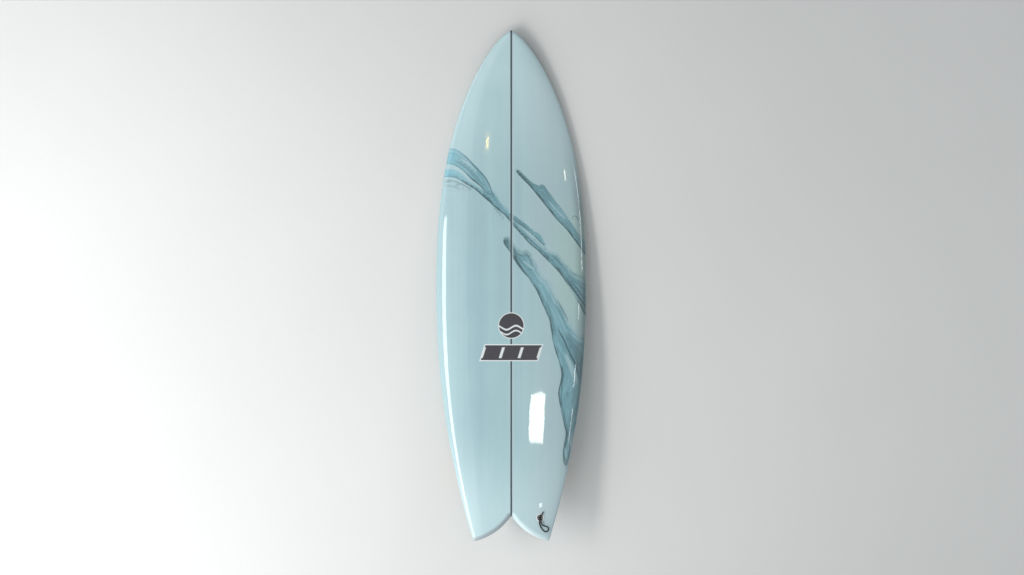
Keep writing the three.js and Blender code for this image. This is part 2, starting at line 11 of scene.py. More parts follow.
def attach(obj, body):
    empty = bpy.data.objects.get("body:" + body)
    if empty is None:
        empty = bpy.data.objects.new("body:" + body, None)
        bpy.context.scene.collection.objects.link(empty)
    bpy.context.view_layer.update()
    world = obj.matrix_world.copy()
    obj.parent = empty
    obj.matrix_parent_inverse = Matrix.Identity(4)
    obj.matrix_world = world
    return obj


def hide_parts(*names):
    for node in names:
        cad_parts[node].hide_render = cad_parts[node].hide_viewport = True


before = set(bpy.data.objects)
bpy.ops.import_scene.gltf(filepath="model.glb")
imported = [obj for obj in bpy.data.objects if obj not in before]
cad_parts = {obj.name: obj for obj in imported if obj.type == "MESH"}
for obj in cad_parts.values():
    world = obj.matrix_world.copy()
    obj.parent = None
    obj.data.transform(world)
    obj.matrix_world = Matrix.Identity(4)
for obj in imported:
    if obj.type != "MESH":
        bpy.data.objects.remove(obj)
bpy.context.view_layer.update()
MM = 0.001

# The board's level frame: x from the stringer, y from the tail tips to the nose, z from the flat of
# the bottom, in millimetres. The row frame is that frame pitched nose down onto the belly.
PITCH = math.radians(6.600142956)
LEVEL_SHIFT = (0.0, -892.4354847, 127.97235)

LENGTH = 1778
HALF_WIDTH = 262
WIDE_POINT = 875
NOSE_FULLNESS = 2.45
NOSE_TAPER = 0.75
TAIL_HALF_WIDTH = 131
TAIL_FULLNESS = 2.1
TAIL_TIP = np.array([128.0, 0.0])
CRACK_DEPTH = 87
CRACK_RADIUS = 215
THICKNESS = 63.5
THICK_POINT = 930
NOSE_THICKNESS = 15
NOSE_THINNING = 1.7
TAIL_THICKNESS = 20
TAIL_THINNING = 1.95
FLAT_POINT = 800
NOSE_ROCKER = 108
NOSE_ROCKER_POWER = 2.4
TAIL_ROCKER = 42
TAIL_ROCKER_POWER = 2.2
RAIL_LEVEL_TAIL = 0.3
RAIL_LEVEL_NOSE = 0.42
DOME_POWER = 2.6
TUCK_START = 0.83
TUCK_POWER = 2.2
CRACK_DECK_RADIUS = 20
CRACK_BOTTOM_RADIUS = 6
NOSE_ROLL = 18
DECK_GLASS = 0.9
BOTTOM_GLASS = 0.7

CRACK_ROWS = 40
RUN_ROWS = 230
DECK_COLUMNS = 84
BOTTOM_COLUMNS = 56
TAIL_SKEW = 73
TAIL_SKEW_RUN = 350

PLUG_ACROSS = 101
PLUG_ALONG = 83
LEASH_HOLE = 14.3
FIN_ACROSS = 140
FIN_ALONG = 245
FIN_CANT = math.radians(4)
FIN_TOE = math.radians(2)
FIN_TAB_AT = 55
FIN_HOLE = 16.3


# ---- camera

def level_matrix():
    turn = Matrix.Rotation(-PITCH, 4, "X")
    return Matrix.Translation(Vector(LEVEL_SHIFT) * MM) @ turn @ Matrix.Scale(MM, 4)


LEVEL = level_matrix()
LEVEL_TURN = LEVEL.to_3x3().normalized()
DECK_UP = LEVEL_TURN @ Vector((0, 0, 1))
CAMERA_LENS = 100
SENSOR = 36
VIEW_WIDTH = 3.584
CAMERA_AIM = (2.6, 885.9, 25)
CAMERA_DISTANCE = VIEW_WIDTH * CAMERA_LENS / SENSOR


def into_scene(obj):
    bpy.context.scene.collection.objects.link(obj)


def add_camera():
    data = bpy.data.cameras.new("camera")
    data.lens = CAMERA_LENS
    data.sensor_width = SENSOR
    data.clip_end = 100
    camera = bpy.data.objects.new("camera", data)
    into_scene(camera)
    place = LEVEL_TURN.to_4x4()
    place.translation = LEVEL @ Vector(CAMERA_AIM) + DECK_UP * CAMERA_DISTANCE
    camera.matrix_world = place
    bpy.context.scene.camera = camera


# ---- meshes

def link(obj, body, replaced, slot):
    into_scene(obj)
    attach(obj, body)
    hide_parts(*replaced)


def mesh_object(name, vertices, faces, smooth=True):
    mesh = bpy.data.meshes.new(name)
    mesh.from_pydata([tuple(v) for v in vertices], [], faces)
    mesh.validate()
    mesh.shade_smooth() if smooth else mesh.shade_flat()
    return bpy.data.objects.new(name, mesh)


def store(mesh, name, values):
    """A vector for each vertex, for the material to read."""
    layer = mesh.attributes.new(name, "FLOAT_VECTOR", "POINT")
    layer.data.foreach_set("vector", np.ascontiguousarray(values, np.float32).ravel())


def moved(points, matrix):
    matrix = np.array(matrix)
    return points @ matrix[:3, :3].T + matrix[:3, 3]


def grid_faces(rings, count, closed=True):
    faces = []
    for ring in range(rings - 1):
        for i in range(count if closed else count - 1):
            a = ring * count + i
            b = ring * count + (i + 1) % count
            faces.append((a, b, b + count, a + count))
    return faces


def close_ends(faces, first, rings, count):
    """Flat end faces for a stack of rings whose first vertex is given."""
    last = first + (rings - 1) * count
    faces.append(tuple(reversed(range(first, first + count))))
    faces.append(tuple(range(last, last + count)))


def turned_object(name, profile, sides):
    """A surface of revolution about z through (radius, height) pairs; radius 0 closes it."""
    vertices = []
    for radius, height in profile:
        for side in range(sides):
            angle = 2 * math.pi * side / sides
            vertices.append((radius * math.cos(angle), radius * math.sin(angle), height))
    obj = mesh_object(name, vertices, grid_faces(len(profile), sides))
    weld(obj)
    return obj


def weld(obj, distance=1e-4):
    bm = bmesh.new()
    bm.from_mesh(obj.data)
    bmesh.ops.remove_doubles(bm, verts=bm.verts, dist=distance)
    bmesh.ops.recalc_face_normals(bm, faces=bm.faces)
    bm.to_mesh(obj.data)
    bm.free()


# ---- the board's surface

def end_shares(y, middle):
    """How far y is on the way from a middle station to the nose and to the tail, 0 to 1."""
    return np.clip((y - middle) / (LENGTH - middle), 0, 1), np.clip((middle - y) / middle, 0, 1)


def half_width(y):
    nose, tail = end_shares(y, WIDE_POINT)
    fore = HALF_WIDTH * (1 - nose ** NOSE_FULLNESS) ** NOSE_TAPER
    aft = HALF_WIDTH - (HALF_WIDTH - TAIL_HALF_WIDTH) * tail ** TAIL_FULLNESS
    return np.where(y >= WIDE_POINT, fore, aft)


def rocker(y):
    nose, tail = end_shares(y, FLAT_POINT)
    return NOSE_ROCKER * nose ** NOSE_ROCKER_POWER + TAIL_ROCKER * tail ** TAIL_ROCKER_POWER


def thickness(y):
    nose, tail = end_shares(y, THICK_POINT)
    thinned = (THICKNESS - NOSE_THICKNESS) * nose ** NOSE_THINNING
    return THICKNESS - thinned - (THICKNESS - TAIL_THICKNESS) * tail ** TAIL_THINNING


def rail_level(y):
    return (RAIL_LEVEL_TAIL + (RAIL_LEVEL_NOSE - RAIL_LEVEL_TAIL) * y / LENGTH) * thickness(y)


APEX = np.array([0.0, CRACK_DEPTH])
CHORD = TAIL_TIP - APEX
HALF_ANGLE = math.asin(np.hypot(*CHORD) / 2 / CRACK_RADIUS)
ACROSS_CHORD = np.array([-CHORD[1], CHORD[0]]) / np.hypot(*CHORD)
CRACK_CENTRE = (APEX + TAIL_TIP) / 2 + ACROSS_CHORD * CRACK_RADIUS * math.cos(HALF_ANGLE)
APEX_ANGLE = math.atan2(*(APEX - CRACK_CENTRE)[::-1])


def crack_point(share):
    angle = APEX_ANGLE + 2 * HALF_ANGLE * share
    return CRACK_CENTRE + CRACK_RADIUS * np.stack([np.cos(angle), np.sin(angle)], -1)


def crack_distance(x, y):
    """How far a point of the right half is from the swallow tail's inner edge."""
    dx, dy = x - CRACK_CENTRE[0], y - CRACK_CENTRE[1]
    turn = np.mod(np.arctan2(dy, dx) - APEX_ANGLE, 2 * np.pi)
    beside_arc = np.maximum(0, CRACK_RADIUS - np.hypot(dx, dy))
    to_ends = np.minimum(np.hypot(x - APEX[0], y - APEX[1]), np.hypot(x - TAIL_TIP[0], y - TAIL_TIP[1]))
    return np.where((turn > 0) & (turn < 2 * HALF_ANGLE), beside_arc, to_ends)


def quarter_round(distance, radius):
    return np.sqrt(1 - np.clip(1 - distance / radius, 0, 1) ** 2)


def rounding(x, y, crack_radius):
    """The share of the way across, and how far the crack's and the nose's rounding has closed in."""
    ends = quarter_round(crack_distance(x, y), crack_radius) * quarter_round(LENGTH - y, NOSE_ROLL)
    return np.minimum(1, x / np.maximum(half_width(y), 1e-6)), ends


def deck_height(x, y):
    across, ends = rounding(x, y, CRACK_DECK_RADIUS)
    dome = np.sqrt(1 - across ** DOME_POWER)
    return rocker(y) + rail_level(y) + (thickness(y) - rail_level(y)) * dome * ends


def bottom_height(x, y):
    across, ends = rounding(x, y, CRACK_BOTTOM_RADIUS)
    tuck = np.clip((across - TUCK_START) / (1 - TUCK_START), 0, None)
    rail = np.sqrt(1 - tuck ** TUCK_POWER)
    return rocker(y) + rail_level(y) * (1 - rail * ends)


def sheet_grid(columns, height):
    """Rows from the tail tip to the nose, each from the inner edge or the centre line to the rail."""
    share = np.linspace(0, 1, CRACK_ROWS + 1)
    crack_y = share * (CRACK_DEPTH + TAIL_SKEW)
    crack_outer = np.stack([half_width(crack_y), crack_y], -1)
    crack_outer[0] = TAIL_TIP
    step = np.arange(1, RUN_ROWS + 1) / RUN_ROWS
    run_y = CRACK_DEPTH + (LENGTH - CRACK_DEPTH) * (1 - np.cos(np.pi * step)) / 2
    skew = TAIL_SKEW * np.clip(1 - (run_y - CRACK_DEPTH) / TAIL_SKEW_RUN, 0, None) ** 2
    run_outer = np.stack([half_width(run_y + skew), run_y + skew], -1)
    inner = np.concatenate([crack_point(1 - share), np.stack([0 * run_y, run_y], -1)])
    outer = np.concatenate([crack_outer, run_outer])
    bunching = np.concatenate([np.ones(CRACK_ROWS + 1), np.clip(1 - 7 * step, 0, 1)])[:, None]
    s = np.linspace(0, 1, columns + 1)[None, :]
    along = (1 - bunching) * np.sin(np.pi * s / 2) + bunching * (1 - np.cos(np.pi * s)) / 2
    plan = inner[:, None, :] * (1 - along[..., None]) + outer[:, None, :] * along[..., None]
    x, y = plan[..., 0], plan[..., 1]
    z = height(x, y)
    seam = rocker(y) + rail_level(y)
    z[:, -1] = seam[:, -1]
    z[:CRACK_ROWS + 1, 0] = seam[:CRACK_ROWS + 1, 0]
    return np.stack([x, y, z], -1)


def sheet_quads(rows, columns, start, flip):
    r, c = np.meshgrid(np.arange(rows - 1), np.arange(columns - 1), indexing="ij")
    a = (start + r * columns + c).ravel()
    quads = np.stack([a, a + 1, a + columns + 1, a + columns], -1)
    return quads[:, ::-1] if flip else quads


CUT_REACH = 12


class Hull:
    """The whole closed surface: welded points, and the deck's and the bottom's faces."""

    def __init__(self):
        points, quads = [], {"deck": [], "bottom": []}
        start = 0
        for sheet, columns, height in (("deck", DECK_COLUMNS, deck_height),
                                       ("bottom", BOTTOM_COLUMNS, bottom_height)):
            grid = sheet_grid(columns, height)
            for side in (1, -1):
                flip = (side > 0) != (sheet == "deck")
                points.append((grid * [side, 1, 1]).reshape(-1, 3))
                quads[sheet].append(sheet_quads(grid.shape[0], grid.shape[1], start, flip))
                start += grid.shape[0] * grid.shape[1]
        _, first, same = np.unique(np.round(np.concatenate(points), 4), axis=0,
                                   return_index=True, return_inverse=True)
        self.points = np.concatenate(points)[first]
        self.faces = {sheet: same.ravel()[np.concatenate(q)] for sheet, q in quads.items()}

    def cut(self, sheet, frame_matrix, centre, radius, height):
        """Opens a round hole: drops the faces inside it and draws its ragged edge onto the circle."""
        local = moved(self.points, frame_matrix.inverted())
        faces = self.faces[sheet]
        middle = local[faces].mean(1)
        gone = (np.hypot(middle[:, 0] - centre[0], middle[:, 1] - centre[1]) < radius)
        gone &= np.abs(middle[:, 2]) < CUT_REACH
        edge = np.intersect1d(faces[gone], faces[~gone])
        self.faces[sheet] = faces[~gone]
        flat = local[edge, :2] - centre
        flat *= radius / np.hypot(flat[:, 0], flat[:, 1])[:, None]
        local[edge, :2] = flat + centre
        ring = moved(local[edge], frame_matrix)
        ring[:, 2] = height(np.abs(ring[:, 0]), ring[:, 1])
        self.points[edge] = ring

    def normals(self):
        total = np.zeros_like(self.points)
        for faces in self.faces.values():
            across = self.points[faces[:, 2]] - self.points[faces[:, 0]]
            other = self.points[faces[:, 3]] - self.points[faces[:, 1]]
            area = np.cross(across, other)
            for corner in range(4):
                np.add.at(total, faces[:, corner], area)
        return total / np.maximum(np.linalg.norm(total, axis=1), 1e-12)[:, None]


def rim_edges(faces):
    """The directed edges that only one face uses."""
    edges = np.concatenate([faces[:, [i, (i + 1) % 4]] for i in range(4)])
    edges = edges[edges[:, 0] != edges[:, 1]]
    keys = {(int(a), int(b)) for a, b in edges}
    return [e for e in keys if (e[1], e[0]) not in keys]


def without_repeats(face):
    kept = [int(v) for i, v in enumerate(face) if v != face[i - 1]]
    return kept if len(set(kept)) > 2 else None


def skin_object(name, hull, sheet, depth, normals):
    """A thin closed shell under one sheet of the hull, shaded with the whole hull's normals."""
    faces = hull.faces[sheet]
    used, compact = np.unique(faces, return_inverse=True)
    faces = compact.reshape(-1, 4)
    count = len(used)
    level = np.concatenate([hull.points[used], hull.points[used] - normals[used] * depth])
    outer = [f for f in (without_repeats(q) for q in faces) if f]
    inner = [[v + count for v in reversed(f)] for f in outer]
    rim = [[b, a, a + count, b + count] for a, b in rim_edges(faces)]
    obj = mesh_object(name, moved(level, LEVEL), outer + inner + rim)
    facing = normals[used] @ np.array(LEVEL_TURN).T
    both = np.concatenate([facing, -facing])
    mesh = obj.data
    corner = np.zeros(len(mesh.loops), np.int32)
    mesh.loops.foreach_get("vertex_index", corner)
    per_corner = both[corner]
    rim_start = sum(len(f) for f in outer + inner)
    per_corner[rim_start:] = 0
    mesh.normals_split_custom_set(per_corner.tolist())
    return obj, level


# ---- swirled resin streams

# Each stream of darker resin lies between two edges, in millimetres from the stringer and the tail
# tips. Points beyond the rail carry the stream round it onto the bottom. soft is the width of its
# feathered high edge and warp its raggedness, in millimetres. From 0 to 1: tone is how dark it is,
# edge and head how much darker its low edge and its start are, and streak how streaky it is.
Stream = namedtuple("Stream", "low high soft warp tone edge streak head seed")
STREAMS = {
    "upper_band": Stream(
        [(-330, 1320), (-262, 1322), (-224, 1317), (-199, 1312), (-169, 1293), (-138, 1262), (-107, 1238),
         (-92, 1221), (-60, 1190), (-30, 1160)],
        [(-330, 1352), (-262, 1368), (-208, 1371), (-183, 1364), (-159, 1345), (-126, 1312), (-94, 1277),
         (-77, 1250), (-62, 1212), (-30, 1172)],
        4, 2, 0.5, 0.4, 0.5, 0, 1),
    "lower_band": Stream(
        [(-330, 1262), (-262, 1268), (-234, 1271), (-212, 1271), (-190, 1266), (-156, 1245), (-125, 1226),
         (-99, 1203), (-81, 1188), (-51, 1161), (-30, 1142)],
        [(-330, 1290), (-262, 1298), (-230, 1299), (-199, 1297), (-173, 1282), (-147, 1258), (-116, 1236),
         (-92, 1219), (-60, 1190), (-30, 1160)],
        5, 1, 0.42, 0.75, 0.45, 0, 2),
    "main": Stream(
        [(-100, 1204), (-81, 1188), (-51, 1161), (-20, 1135), (2, 1108), (28, 1078), (59, 1043),
         (94, 1013), (124, 982), (159, 947), (190, 906), (216, 866), (238, 826), (256, 792), (290, 745),
         (330, 700)],
        [(-100, 1226), (-80, 1218), (-62, 1212), (-51, 1197), (-24, 1166), (2, 1140), (24, 1106),
         (58, 1075), (85, 1049), (111, 1027), (137, 1008), (155, 1000), (181, 973), (207, 943),
         (238, 926), (262, 918), (300, 905), (340, 880)],
        20, 6, 0.6, 0.45, 0.6, 0, 3),
    "branch": Stream(
        [(-5, 1136), (12, 1118), (41, 1094), (67, 1072), (94, 1049), (114, 1030), (124, 1014)],
        [(-5, 1146), (24, 1128), (52, 1106), (78, 1084), (104, 1068), (110, 1052), (120, 1037),
         (128, 1018)],
        4, 1, 0.56, 0.2, 0.6, 0.1, 4),
    "right": Stream(
        [(12, 1300), (20, 1285), (32, 1271), (63, 1240), (85, 1214), (120, 1170), (155, 1127),
         (190, 1091), (216, 1057), (240, 1025), (262, 996), (300, 950), (340, 905)],
        [(12, 1300), (26, 1296), (50, 1272), (72, 1253), (96, 1239), (103, 1245), (116, 1240),
         (137, 1210), (164, 1175), (190, 1144), (207, 1118), (225, 1092), (247, 1061), (272, 1030),
         (310, 990), (345, 940)],
        6, 2, 0.58, 0.45, 0.6, 0.25, 5),
    "wide": Stream(
        [(-22, 1059), (-28, 1044), (-19, 1030), (-7, 1013), (10, 982), (32, 951), (60, 918), (83, 884),
         (102, 845), (118, 806), (133, 771), (139, 736), (145, 701), (154, 664), (167, 625), (175, 586),
         (171, 554), (164, 523), (167, 489), (175, 449), (183, 410), (191, 372), (184, 341), (180, 313),
         (185, 282), (194, 258)],
        [(-22, 1059), (-10, 1060), (8, 1038), (24, 1013), (41, 1008), (51, 1010), (67, 991), (81, 969),
         (103, 925), (129, 902), (157, 845), (180, 811), (200, 775), (219, 745), (243, 722), (268, 708),
         (310, 660), (340, 560), (320, 470), (262, 418), (226, 392), (213, 370), (206, 350), (206, 330),
         (204, 300), (194, 258)],
        24, 8, 0.49, 0.55, 0.7, 0.35, 6),
}

# Single threads and pale gaps in the resin, in layers whose lines keep clear of each other: a line,
# its half width, and how dark (+) or pale (-) it is
THREADS = [
    [([(-178, 1360), (-159, 1343), (-134, 1315), (-96, 1275), (-79, 1249), (-65, 1214),
       (-45, 1190)], 3.5, 0.6),
     ([(186, 927), (219, 877), (246, 838), (275, 800)], 4, 0.85),
     ([(157, 756), (165, 738), (181, 708), (196, 674), (212, 642), (227, 610), (235, 573),
       (240, 548)], 4.5, 0.8),
     ([(-68, 1175), (-45, 1148), (-20, 1122)], 2.5, 0.45),
     ([(210, 1122), (214, 1132), (224, 1135), (234, 1128), (238, 1112)], 2.5, 0.5),
     ([(-240, 1262), (-206, 1258), (-168, 1244), (-128, 1219)], 4, 0.4),
     ([(-240, 1244), (-204, 1238), (-172, 1226)], 5, 0.22),
     ([(166, 640), (176, 590), (178, 545), (174, 500), (180, 455), (190, 415), (200, 380)], 3, 0.5),
     ([(198, 352), (204, 330), (200, 296), (190, 266), (182, 290), (184, 322)], 2.5, 0.7)],
    [([(-184, 1340), (-150, 1316), (-114, 1283)], 3.2, -0.9),
     ([(192, 905), (222, 860), (246, 824)], 4.5, -0.6),
     ([(127, 1194), (163, 1149), (200, 1116)], 3, -0.75),
     ([(188, 660), (204, 618), (220, 578), (230, 548)], 10, -0.8),
     ([(36, 984), (58, 964), (82, 944)], 5, -0.6),
     ([(118, 1036), (128, 1027), (138, 1017)], 8, -1.0),
     ([(191, 330), (192, 305), (191, 282)], 4, -0.8),
     ([(30, 1104), (62, 1075), (96, 1046)], 5, -0.7)],
    [([(-202, 1332), (-160, 1306), (-124, 1272), (-96, 1238)], 5, 0.35),
     ([(160, 846), (180, 806), (201, 765)], 3, 0.6),
     ([(10, 1106), (44, 1072), (80, 1040), (118, 1006), (158, 968)], 2.5, 0.6),
     ([(196, 930), (222, 893), (248, 858), (272, 826)], 2.2, 0.7),
     ([(120, 845), (136, 800), (146, 757), (153, 716)], 5, 0.35),
     ([(186, 735), (212, 690), (236, 640), (250, 590), (262, 540)], 20, 0.45)],
]


STREAM_REACH = 60
THREAD_REACH = 4


def smooth_line(points, per_span=5):
    """A Catmull-Rom curve through the points."""
    p = np.array(points, float)
    p = np.concatenate([[2 * p[0] - p[1]], p, [2 * p[-1] - p[-2]]])
    t = np.linspace(0, 1, per_span, endpoint=False)[:, None]
    spans = []
    for a, b, c, d in zip(p[:-3], p[1:-2], p[2:-1], p[3:]):
        spans.append(0.5 * (2 * b + (c - a) * t + (2 * a - 5 * b + 4 * c - d) * t ** 2
                            + (3 * b - a - 3 * c + d) * t ** 3))
    return np.concatenate(spans + [p[-2:-1]])


def line_distance(plan, line):
    """Each point's distance to the line, its side of it and the length along it; the line's length."""
    start, step = line[:-1], np.diff(line, axis=0)
    square = np.maximum((step ** 2).sum(1), 1e-12)
    length = np.sqrt(square)
    before = np.concatenate([[0], np.cumsum(length)[:-1]])
    results = []
    for points in np.array_split(plan, max(1, len(plan) // 20000)):
        offset = points[:, None, :] - start
        t = np.clip((offset * step).sum(-1) / square, 0, 1)
        gap = ((offset - t[..., None] * step) ** 2).sum(-1)
        nearest = gap.argmin(1)
        row = np.arange(len(points))
        t, offset, chosen = t[row, nearest], offset[row, nearest], step[nearest]
        side = np.where(chosen[:, 0] * offset[:, 1] > chosen[:, 1] * offset[:, 0], 1.0, -1.0)
        results.append(np.stack([np.sqrt(gap[row, nearest]), side, before[nearest] + t * length[nearest]]))
    distance, side, along = np.concatenate(results, axis=1)
    return distance, side, along, float(length.sum())


def inside(plan, outline):
    count = np.zeros(len(plan), int)
    x, y = plan[:, 0], plan[:, 1]
    for a, b in zip(outline, np.roll(outline, -1, 0)):
        crosses = (a[1] > y) != (b[1] > y)
        with np.errstate(divide="ignore", invalid="ignore"):
            at = a[0] + (y - a[1]) * (b[0] - a[0]) / (b[1] - a[1])
        count += crosses & (x < at)
    return count % 2 == 1


def stream_field(plan, stream):
    """(length along, share across from the low edge, depth inside the stream), in metres."""
    low, high = smooth_line(stream.low), smooth_line(stream.high)
    to_low, _, along, _ = line_distance(plan, low)
    to_high, _, _, _ = line_distance(plan, high)
    depth = np.minimum(to_low, to_high)
    depth = np.where(inside(plan, np.concatenate([low, high[::-1]])), depth, -depth)
    across = to_low / np.maximum(to_low + to_high, 1e-6)
    return np.stack([along * MM, across, np.clip(depth, -STREAM_REACH, STREAM_REACH) * MM], -1)


def thread_layer(plan, threads):
    """(distance over the nearest thread's half width, its strength, 0)."""
    across = np.full(len(plan), 2.0 * THREAD_REACH)
    strength = np.zeros(len(plan))
    for points, half_width_mm, darkness in threads:
        distance, side, along, total = line_distance(plan, smooth_line(points, 6))
        taper = np.clip(np.minimum(along, total - along) / (0.3 * total), 0, 1)
        scaled = distance / (half_width_mm * (0.35 + 0.65 * taper))
        nearer = (scaled < np.abs(across)) & (scaled < THREAD_REACH)
        across[nearer] = (side * scaled)[nearer]
        fade = np.clip(taper * 2.5, 0, 1) * np.clip((THREAD_REACH - scaled) / 2, 0, 1)
        strength[nearer] = (darkness * fade)[nearer]
    return np.stack([across, strength, np.zeros(len(plan))], -1)


def store_resin(obj, level, sheet):
    """What the resin's material reads: the unrolled plan, the streams and the threads. The shell's
    inner points take the values of the outer ones."""
    outer = level[:len(level) // 2]
    x, y = outer[:, 0], outer[:, 1]
    width, off = half_width(y), np.abs(x)
    unrolled = x if sheet == "deck" else np.sign(x) * (2 * width - off)
    plan = np.stack([unrolled, y], -1)
    fields = {"plan": np.stack([unrolled, y, x], -1) * MM,
              "edges": np.stack([width - off, crack_distance(off, y), 0 * x], -1) * MM}
    for name, stream in STREAMS.items():
        fields["stream_" + name] = stream_field(plan, stream)
    for number, threads in enumerate(THREADS):
        fields[f"threads_{number}"] = thread_layer(plan, threads)
    for name, values in fields.items():
        store(obj.data, name, np.concatenate([values, values]))


# ---- materials

def srgb(red, green, blue):
    def linear(c):
        c /= 255
        return c / 12.92 if c <= 0.04045 else ((c + 0.055) / 1.055) ** 2.4
    return (linear(red), linear(green), linear(blue), 1)


def arithmetic(operation):
    """A Graph method that does one of Blender's sums on one or two values."""
    def method(self, a, b=0, clamp=False):
        return self.node("Math", {0: a, 1: b}, operation=operation, use_clamp=clamp)
    return method


class Graph:
    """One material's nodes. A value may be a number, a colour, or another node's output."""

    def __init__(self, name, **shader):
        self.material = bpy.data.materials.new(name)
        self.material.use_nodes = True
        self.tree = self.material.node_tree
        self.shader = self.tree.nodes["Principled BSDF"]
        for socket, value in shader.items():
            self.set(socket.replace("_", " ").title().replace("Ior", "IOR"), value)

    def plug(self, socket, value):
        if isinstance(value, bpy.types.NodeSocket):
            self.tree.links.new(value, socket)
        else:
            socket.default_value = value

    def set(self, socket, value):
        self.plug(self.shader.inputs[socket], value)

    def node(self, kind, inputs, output=0, **settings):
        made = self.tree.nodes.new("ShaderNode" + kind)
        for name, value in settings.items():
            setattr(made, name, value)
        for key, value in inputs.items():
            self.plug(made.inputs[key], value)
        return made.outputs[output]

    add, sub, mul, div = map(arithmetic, ("ADD", "SUBTRACT", "MULTIPLY", "DIVIDE"))
    larger, power, root = map(arithmetic, ("MAXIMUM", "POWER", "SQRT"))
    sine, absolute, fraction = map(arithmetic, ("SINE", "ABSOLUTE", "FRACT"))

    def scaled(self, vector, scale):
        return self.node("VectorMath", {0: vector, 1: scale}, operation="MULTIPLY")

    def split(self, vector):
        return self.node("SeparateXYZ", {0: vector}).node.outputs

    def join(self, x, y, z=0):
        return self.node("CombineXYZ", {0: x, 1: y, 2: z})

    def step(self, value, low, high, to_low=0, to_high=1):
        """A smooth step; high may be below low."""
        return self.node("MapRange", {"Value": value, "From Min": low, "From Max": high,
                         "To Min": to_low, "To Max": to_high}, interpolation_type="SMOOTHSTEP")

    def mix(self, share, a, b):
        return self.node("Mix", {0: share, 6: a, 7: b}, output=2, data_type="RGBA")

    def ramp(self, value, stops):
        colour = self.node("ValToRGB", {0: value})
        elements = colour.node.color_ramp.elements
        while len(elements) < len(stops):
            elements.new(1)
        for element, stop in zip(elements, stops):
            element.position, element.color = stop
        return colour

    def noise(self, vector, scale, detail=2, roughness=0.5, distortion=0):
        return self.node("TexNoise", {"Vector": vector, "Scale": scale, "Detail": detail,
                         "Roughness": roughness, "Distortion": distortion})

    def attribute(self, name):
        return self.node("Attribute", {}, output="Vector", attribute_name=name)

    def place(self):
        return self.node("TexCoord", {}, output="Object")

    def bump(self, height, strength, distance):
        return self.node("Bump", {"Height": height, "Strength": strength, "Distance": distance})

    def finish(self, colour, roughness=None, normal=None):
        """Sets what is given on the shader and hands over the material."""
        for socket, value in (("Base Color", colour), ("Roughness", roughness), ("Normal", normal)):
            if value is not None:
                self.set(socket, value)
        return self.material


FIELD_LIGHT = srgb(171, 204, 208)
FIELD_GREY = srgb(161, 192, 199)
# painted highlight colour for the nose and tail
FIELD_END_HIGHLIGHT = srgb(200, 227, 231)
# painted light colour for the right half of the deck
FIELD_RIGHT_LIT = srgb(188, 204, 208)
FIELD_PATCH = srgb(160, 200, 203)
TEAL_BRIGHT = srgb(126, 193, 211)
TEAL_LIGHT = srgb(138, 186, 197)
TEAL = srgb(120, 168, 179)
TEAL_GREY = srgb(96, 138, 146)
TEAL_DARK = srgb(60, 90, 96)
# painted reflection colour: a pale sheen toward the right rail
PAINTED_SHEEN = srgb(178, 209, 200)
# painted shade colour for the right rail
RAIL_SHADE = srgb(62, 84, 84)
INK = srgb(52, 47, 53)
PALE = srgb(232, 238, 238)


def resin_field(g, plan):
    """The pale blue field: narrow bands along the board, soft clouds and a fine mottle, with a painted
    highlight toward the nose and tail, painted light over the right half and a painted reflection toward
    the right rail.
    """
    x, y, _ = g.split(plan)
    wide_bands = g.noise(g.join(g.mul(x, 8), g.mul(y, 0.5)), 1, 2)
    narrow_bands = g.noise(g.join(g.mul(x, 34), g.mul(y, 0.7), 3), 1, 3)
    clouds = g.noise(plan, 8, 4, 0.55)
    mottle = g.noise(plan, 140, 2)
    mixed = g.add(g.mul(wide_bands, 0.35), g.mul(narrow_bands, 0.45))
    mixed = g.add(g.add(mixed, g.mul(clouds, 0.3)), g.mul(mottle, 0.1))
    colour = g.mix(g.step(mixed, 0.42, 0.8), FIELD_LIGHT, FIELD_GREY)
    # painted highlight: the field is made paler toward the nose and the tail
    ends = g.larger(g.step(y, 1.15, 1.65, 0, 0.75), g.step(y, 0.42, 0.08, 0, 0.7))
    colour = g.mix(ends, colour, FIELD_END_HIGHLIGHT)
    # painted light: the right half of the field is made paler
    colour = g.mix(g.step(x, 0.01, 0.12, 0, 0.34), colour, FIELD_RIGHT_LIT)
    patches = g.noise(g.join(g.mul(x, 5), g.mul(y, 2.2), 8), 1, 3, 0.55)
    colour = g.mix(g.step(patches, 0.5, 0.72, 0, 0.35), colour, FIELD_PATCH)
    # painted reflection: a pale sheen laid toward the right rail through the middle of the board
    across_right = g.mul(g.step(x, 0.10, 0.22), g.step(x, 0.33, 0.27))
    along_right = g.mul(g.step(y, 0.62, 0.92), g.step(y, 1.24, 1.05))
    return g.mix(g.mul(g.mul(across_right, along_right), 0.6), colour, PAINTED_SHEEN)


def stream_cover(g, along, across, depth, streaks, soft):
    """How far the stream hides the field: solid inside, feathered out along its high edge."""
    softness = g.add(1.5 * MM, g.mul(across, soft * MM))
    cover = g.step(g.div(depth, softness), -0.5, 0.5)
    feather = g.mul(g.step(streaks, 0.52, 0.36), g.step(across, 0.45, 1))
    feather = g.mul(feather, g.step(along, 0.04, 0.2))
    return g.mul(cover, g.sub(1, g.mul(feather, 0.75)))


